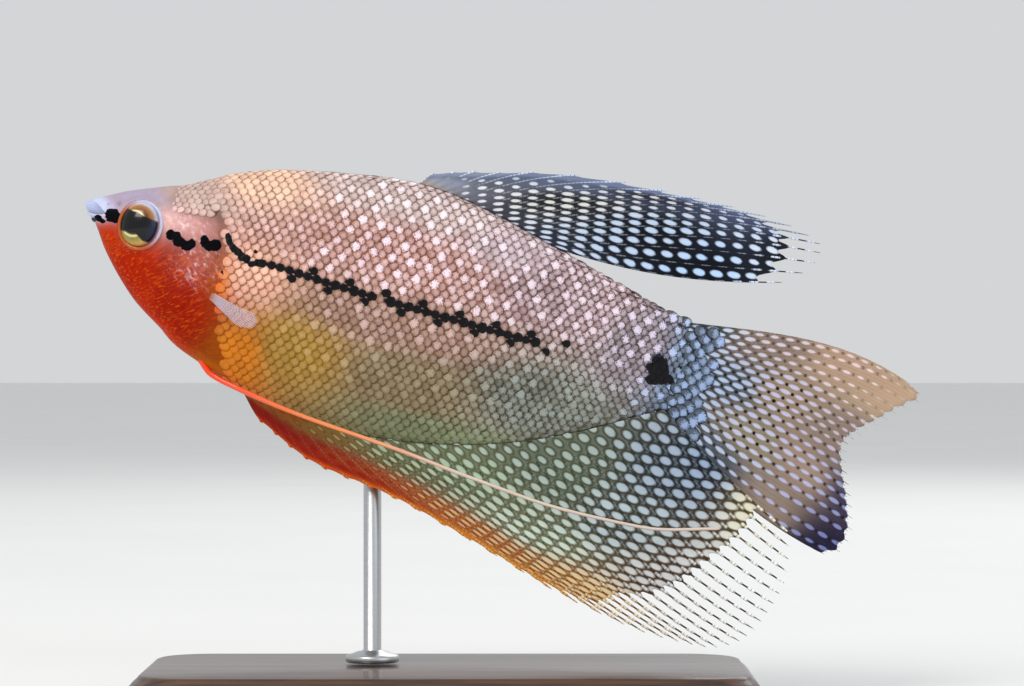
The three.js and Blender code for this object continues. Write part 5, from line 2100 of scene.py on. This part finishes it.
    def tail(self) -> Fin:
        """Give the tail fin.

        Returns:
            The fin.
        """
        inks = (
            Ink(0.0, 0.05, "#3C4448", "#C4D4E8", 0.9, 1.0), Ink(0.5, 0.05, "#20262C", "#A8C0E0", 1.0, 1.0),
            Ink(1.0, 0.05, "#20262E", "#BCCEE6", 1.0, 1.0),
            Ink(0.0, 0.35, "#8E7A70", "#D4CCD4", 0.7, 1.0, 0.6),
            Ink(0.45, 0.3, "#484E54", "#B4C6E2", 1.0, 1.0, 0.9),
            Ink(0.95, 0.3, "#4C5460", "#BCCAE0", 0.9, 1.0, 0.8),
            Ink(0.05, 0.7, "#C4A48C", "#E6D4D4", 0.6, 0.85, 0.5),
            Ink(0.12, 0.95, "#CCB092", "#E8D8C4", 0.15, 0.75, 0.2),
            Ink(0.4, 0.55, "#A48E78", "#CCC8E0", 0.9, 0.85, 1.0),
            Ink(0.42, 0.92, "#988478", "#CCC0CC", 0.6, 0.8, 0.7),
            Ink(0.72, 0.45, "#988A76", "#C8CCE0", 0.95, 0.9, 1.0),
            Ink(0.72, 0.75, "#AC9484", "#C4C4E0", 0.8, 0.85, 0.8),
            Ink(0.78, 0.97, "#342E4A", "#949CC8", 0.9, 0.95, 0.8),
            Ink(1.0, 0.6, "#A08C80", "#BCBCD8", 0.7, 0.9, 0.6),
            Ink(0.95, 0.93, "#1C1836", "#747CB4", 0.85, 1.0, 0.5),
        )
        tips = Profile((
            (0, 112.5, 5.9), (0.07, 114.9, 4.4), (0.16, 112.6, 2.2), (0.27, 110.2, -0.2),
            (0.38, 107.9, -2.4), (0.5, 106.6, -4.6), (0.62, 107.6, -8), (0.75, 109.2, -11.8),
            (0.88, 110.2, -15.8), (0.95, 109.4, -18.3), (1, 107.4, -19.2),
        ))
        return TailFin(
            "tail", "caudal_fin", self.pose, self.body, rays=22, tips=tips,
            leave=Profile(((0, 8), (0.5, -8), (1, -43.5))),
            arrive=Profile(((0, -20), (0.2, -16), (0.5, -17), (0.8, -20), (1, -12))),
            membrane=Profile(((0, 0.985), (0.5, 0.97), (1, 0.985))),
            pull=(0.36, 0.36), inks=inks, pitch_mm=2.1, long_mm=1.7, wide_mm=0.66, band_mm=2.1,
            ray_radius=0.1, root_half=0.9, scallop=0.015, split=3, ray_shade=0.55, bead=0.0)


@dataclass(frozen=True)
class ThreadFinish:
    """A feeler: one long fin ray in thick smooth skin, orange at its root and pale at its tip."""

    name: str = "smooth_feeler_skin"

    def make(self) -> bpy.types.Material:
        """Build the material.

        Returns:
            The material, which reads the painted colour along the feeler.
        """
        paint = Paint(self.name, roughness=0.3, coat=0.4, ior=1.42)
        mottle = paint.noise(1.4)
        paint.colour(paint.blend(paint.times(mottle, 0.45), paint.tint("paint"),
                                 four("#B87858"), "OVERLAY"))
        paint.rough(mottle, 0.24, 0.42)
        paint.relief(paint.noise(0.35, 2.0), 0.04, 0.5)
        paint.flesh(0.1, 0.4)
        return paint.material


@dataclass
class Feelers:
    """The thread-like pelvic fins."""

    pose: Pose
    left: tuple = (
        (19.6, 0.9, -15.4), (21.8, 1.3, -17.1), (26, 2.6, -18), (34.5, 3.4, -19.2), (48.6, 3.6, -20.3),
        (60, 3.4, -21.5), (71.5, 3.1, -22.3), (82.4, 2.8, -21.9), (92.7, 2.6, -19.4),
    )
    right: tuple = (
        (19.6, 0.9, -15.4), (21.8, 1.3, -17.1), (26, 3.1, -18), (34.5, 5, -19.2), (46, 5.4, -20.3),
        (60, 4.6, -21.7), (71.5, 4, -22.8), (81.4, 3.6, -22.9), (90.7, 3.4, -21.4),
    )
    radius: Profile = Profile(((0, 0.42), (0.08, 0.38), (0.25, 0.29), (1, 0.2)))
    rings: int = 160
    sides: int = 12

    def thread(self, rows: tuple, side: Side) -> Shape:
        """Make one thread.

        Args:
            rows: Its points, where the right side's are.
            side: Which side it is on.

        Returns:
            The shape.
        """
        knots = np.array(rows, float) * np.array([1, side.value, 1])
        far = lengths_along(knots)
        table = Profile(tuple((f, *k) for f, k in zip(far, knots)))
        place = np.linspace(0, far[-1], self.rings)
        path = np.stack([table.at(place, i) for i in (1, 2, 3)], axis=-1)
        share = place / far[-1]
        size = self.radius.at(share)
        size[[0, -1]] *= 0.3
        orange, salmon, pale = linear("#F04008"), linear("#F29C62"), linear("#DCD0C6")
        colour = mixed(orange, salmon, step(share, 0.02, 0.3))
        colour = mixed(colour, pale, step(share, 0.28, 0.55))
        return tube(self.pose, path, size, self.sides, {"paint": opaque(colour)})

    def build(self) -> None:
        """Build both feelers and dress them."""
        finish = ThreadFinish().make()
        for side, rows in ((Side.LEFT, self.left), (Side.RIGHT, self.right)):
            name = side.name.lower()
            mesh = self.thread(rows, side).mesh("feeler_" + name)
            Piece.add("feeler_" + name, mesh, finish, "feeler", ("pelvic_fin_" + name,))


@dataclass
class BreastFin:
    """One of the two clear fins behind the gill covers."""

    pose: Pose
    body: Body
    side: Side
    rays: int = 11
    x: float = 19.6
    z: float = -7.0
    root_height: float = 0.9
    length: float = 9.5
    spread_deg: float = 7.0
    out_deg: float = 46.0
    down_deg: float = 15.0
    inside: float = 0.9
    between: int = 4
    rows: int = 28
    ray_rows: int = 30
    ray_end: float = 0.965
    ray_radius: float = 0.06

    def points(self, u: Array, s: Array) -> Array:
        """Give points on the fin's middle sheet.

        Args:
            u: Places from the upper ray, 0, to the lower, 1.
            s: Shares along a ray.

        Returns:
            Rows of x, y, z in the fish's frame.
        """
        angle = np.radians(self.spread_deg * (1 - 2 * u))
        reach = self.length * (1 - 0.75 * (u - 0.35) ** 2)
        root_z = self.root_height * (0.5 - u)
        x = -self.inside + (reach * np.cos(angle) + self.inside) * s
        z = root_z + reach * np.sin(angle) * s * (0.4 + 0.6 * s)
        y = -0.012 * x * x
        # The fin droops a little and stands out from the side.
        x, z = rotated(x, z, -math.radians(self.down_deg))
        x, y = rotated(x, y, math.radians(self.out_deg))
        start = float(self.body.flank(self.x, self.z))
        return np.stack([self.x + x, self.side.value * (start + y), self.z + z], axis=-1)

    def membrane_shape(self) -> Shape:
        """Make the membrane as a thin closed sheet, thicker at its root.

        Returns:
            The shape.
        """
        columns = (self.rays - 1) * self.between + 1
        beside = np.sin(np.linspace(0, self.rays - 1, columns) * np.pi) ** 2
        grid_u, grid_t = np.meshgrid(np.linspace(0, 1, columns), np.linspace(0, 1, self.rows), indexing="ij")
        grid_s = grid_t * (0.97 - 0.03 * beside)[:, None]
        middle = self.points(grid_u, grid_s)
        normal = unit_rows(np.cross(np.gradient(middle, axis=1), np.gradient(middle, axis=0)))
        half = 0.05 + 0.3 * (1 - step(grid_s, 0.0, 0.3))
        points, faces = sheet(middle, normal * half[..., None])
        colour = opaque(mixed(linear("#D07A58"), linear("#D8CCDA"), step(grid_s, 0.02, 0.28)).reshape(-1, 3))
        cover = (0.7 - 0.5 * step(grid_s, 0.05, 0.5)).ravel()
        place = np.stack([grid_u * (self.rays - 1), grid_s * self.length, grid_s], axis=-1).reshape(-1, 3)
        values = {"on_fin": place, "net_paint": colour, "pearl_paint": colour,
                  "spots": 0 * cover, "dots": 0 * cover, "cover": cover}
        return Shape(self.pose.placed(points), faces, both_faces(values))

    def ray_lines(self) -> Shape:
        """Set out the rays as lines for the Geometry Nodes.

        Returns:
            The points with each ray's values.
        """
        along = np.linspace(0, self.ray_end, self.ray_rows)
        u, s = np.meshgrid(np.linspace(0, 1, self.rays), along, indexing="ij")
        line = self.points(u, s).reshape(-1, 3)
        tint = np.tile(opaque(linear("#D8CCD8")), (len(line), 1))
        values = {
            "thickness": (self.ray_radius * (1 - 0.5 * s) * MM).ravel(),
            "on_ray": np.stack([u * (self.rays - 1), s * self.length, s], axis=-1).reshape(-1, 3),
            "net_paint": tint, "pearl_paint": tint, "bands": 0 * s.ravel(),
        }
        return Shape(self.pose.placed(line), [], values)

    def build(self, tree: bpy.types.NodeTree) -> None:
        """Build the membrane and the rays and dress them.

        Args:
            tree: The Geometry Nodes that turn lines to rays.
        """
        name = "breast_fin_" + self.side.name.lower()
        finish = FinFinish(name + "_membrane", pitch_mm=2.0, long_mm=0.5, wide_mm=0.5).make()
        node = "pectoral_fin_" + self.side.name.lower()
        Piece.add(name, self.membrane_shape().mesh(name), finish, "clear_fin", (node,))
        rays = RayFinish(name + "_horny_rays").make()
        mesh = Grove.grown(self.ray_lines(), name + "_rays", tree, {"Sides": 6, "Finish": rays},
                           line_edges(self.rays, self.ray_rows))
        Piece.add(name + "_rays", mesh, rays, "clear_fin")


@dataclass(frozen=True)
class StainedWood:
    """Dark stained hardwood under satin varnish: fine grain lines and a soft gloss."""

    name: str = "stained_walnut_satin_varnish"
    grain_mm: float = 1.1

    def make(self) -> bpy.types.Material:
        """Build the material.

        Returns:
            The material, with the grain running along the base.
        """
        paint = Paint(self.name, roughness=0.36, coat=0.35, ior=1.5)
        grain = paint.noise(self.grain_mm, 6.0, (0.06, 1.0, 1.0))
        broad = paint.noise(9.0, 3.0, (0.12, 1.0, 1.0))
        pores = paint.noise(0.35, 2.0, (0.05, 1.0, 1.0))
        wood = paint.blend(paint.fade(grain, 0.35, 0.68), four("#2A170E"), four("#5E3A22"))
        wood = paint.blend(paint.times(broad, 0.6), wood, four("#3A2114"))
        paint.colour(paint.blend(paint.fade(pores, 0.62, 0.78), wood, four("#1A0D07")))
        paint.rough(broad, 0.28, 0.46)
        paint.relief(grain, 0.05, 0.3)
        return paint.material


@dataclass(frozen=True)
class BrushedSteel:
    """Stainless steel, brushed round: fine scratches stretch its highlights."""

    name: str = "brushed_stainless_steel"

    def make(self) -> bpy.types.Material:
        """Build the material.

        Returns:
            The material, with scratches round the rod.
        """
        paint = Paint(self.name, roughness=0.3, ior=1.5, metallic=1.0)
        scratch = paint.noise(0.12, 3.0, (0.08, 0.08, 1.0))
        paint.colour(paint.blend(scratch, four("#B4B6B8"), four("#D0D2D4")))
        paint.rough(scratch, 0.22, 0.42)
        paint.relief(scratch, 0.01, 0.4)
        return paint.material


@dataclass
class Stand:
    """The plain display stand: a moulded wooden base and a steel rod up to the belly."""

    corner: float = 9.0
    rod_radius: float = 1.2
    foot_radius: float = 3.6
    rod_y: float = 2.6
    rod_sides: int = 48
    moulding: tuple = (
        (0.5, 0.0), (0.0, 0.35), (0.0, 2.1), (0.35, 2.45), (0.5, 2.6), (0.55, 2.9), (0.8, 3.5), (1.3, 4.1),
        (1.7, 4.4), (1.85, 4.6), (2.05, 4.85), (2.5, 5.0),
    )

    def base(self) -> Shape:
        """Make the base with its moulded edge.

        Returns:
            The shape.
        """
        low, high = (np.array(corner, float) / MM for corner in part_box("stand_base"))
        half, middle = (high - low)[:2] / 2, (high + low)[:2] / 2
        turn = np.linspace(0, np.pi / 2, 17)
        rings = []
        for inset, z in self.moulding:
            corner = self.corner - inset * 0.8
            ring = []
            for start, sx, sy in ((0, 1, 1), (1, -1, 1), (2, -1, -1), (3, 1, -1)):
                a = turn + start * np.pi / 2
                cx, cy = sx * (half[0] - inset - corner), sy * (half[1] - inset - corner)
                cx, cy = cx + middle[0], cy + middle[1]
                ring += [(cx + corner * math.cos(t), cy + corner * math.sin(t), z) for t in a]
            rings.append(ring)
        ends = [(*middle, self.moulding[0][1]), (*middle, self.moulding[-1][1])]
        points = np.concatenate([np.array(rings).reshape(-1, 3), ends])
        return Shape(points * MM, closed_faces(len(rings), len(rings[0])))

    def rod(self) -> Shape:
        """Turn the rod and its foot.

        Returns:
            The shape.
        """
        low, high = (np.array(corner, float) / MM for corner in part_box("stand_rod"))
        middle = (low + high) / 2
        foot, top = low[2], high[2] - 0.15
        r, f = self.rod_radius, self.foot_radius
        turned = (
            (f - 0.15, foot), (f, foot + 0.15), (f, foot + 0.75), (f - 0.12, foot + 0.95),
            (f - 0.9, foot + 1.15), (f - 1.5, foot + 1.4), (r + 0.25, foot + 1.5), (r, foot + 1.7),
            (r, top - 0.4), (r - 0.1, top - 0.1), (r - 0.4, top),
        )
        angle = np.linspace(0, 2 * np.pi, self.rod_sides, endpoint=False)
        points = [(middle[0] + radius * math.cos(a), self.rod_y + radius * math.sin(a), z)
                  for radius, z in turned for a in angle]
        points += [(middle[0], self.rod_y, foot), (middle[0], self.rod_y, top)]
        return Shape(np.array(points) * MM, closed_faces(len(turned), self.rod_sides))

    def build(self) -> None:
        """Build the base and the rod and dress them."""
        base, rod = self.base().mesh("wooden_base"), self.rod().mesh("steel_rod")
        Piece.add("wooden_base", base, StainedWood().make(), "base_wood", ("stand_base",))
        Piece.add("steel_rod", rod, BrushedSteel().make(), "rod_steel", ("stand_rod",))


def main() -> None:
    """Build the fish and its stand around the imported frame."""
    logging.basicConfig(level=logging.INFO, format="%(name)s %(message)s")
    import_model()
    body, eye, marks = Body(), Eye(), Markings()
    pose = Pose.of_frame((eye.x, 0.0, eye.z))
    studio = Studio(pose)
    studio.camera()
    relief = Relief(body, eye)
    Skin(body, relief, marks, pose).build()
    fins = Fins(body, pose)
    Scales(body, marks, pose).build(relief, fins.tail())
    Eyes(body, eye, pose).build()
    rays = ray_tree()
    for fin in (fins.dorsal(), fins.anal(), fins.tail()):
        fin.build(rays)
    for side in Side:
        BreastFin(pose, body, side).build(rays)
    Feelers(pose).build()
    Stand().build()
    studio.floor()
    studio.light()


if __name__ == "__main__":
    main()
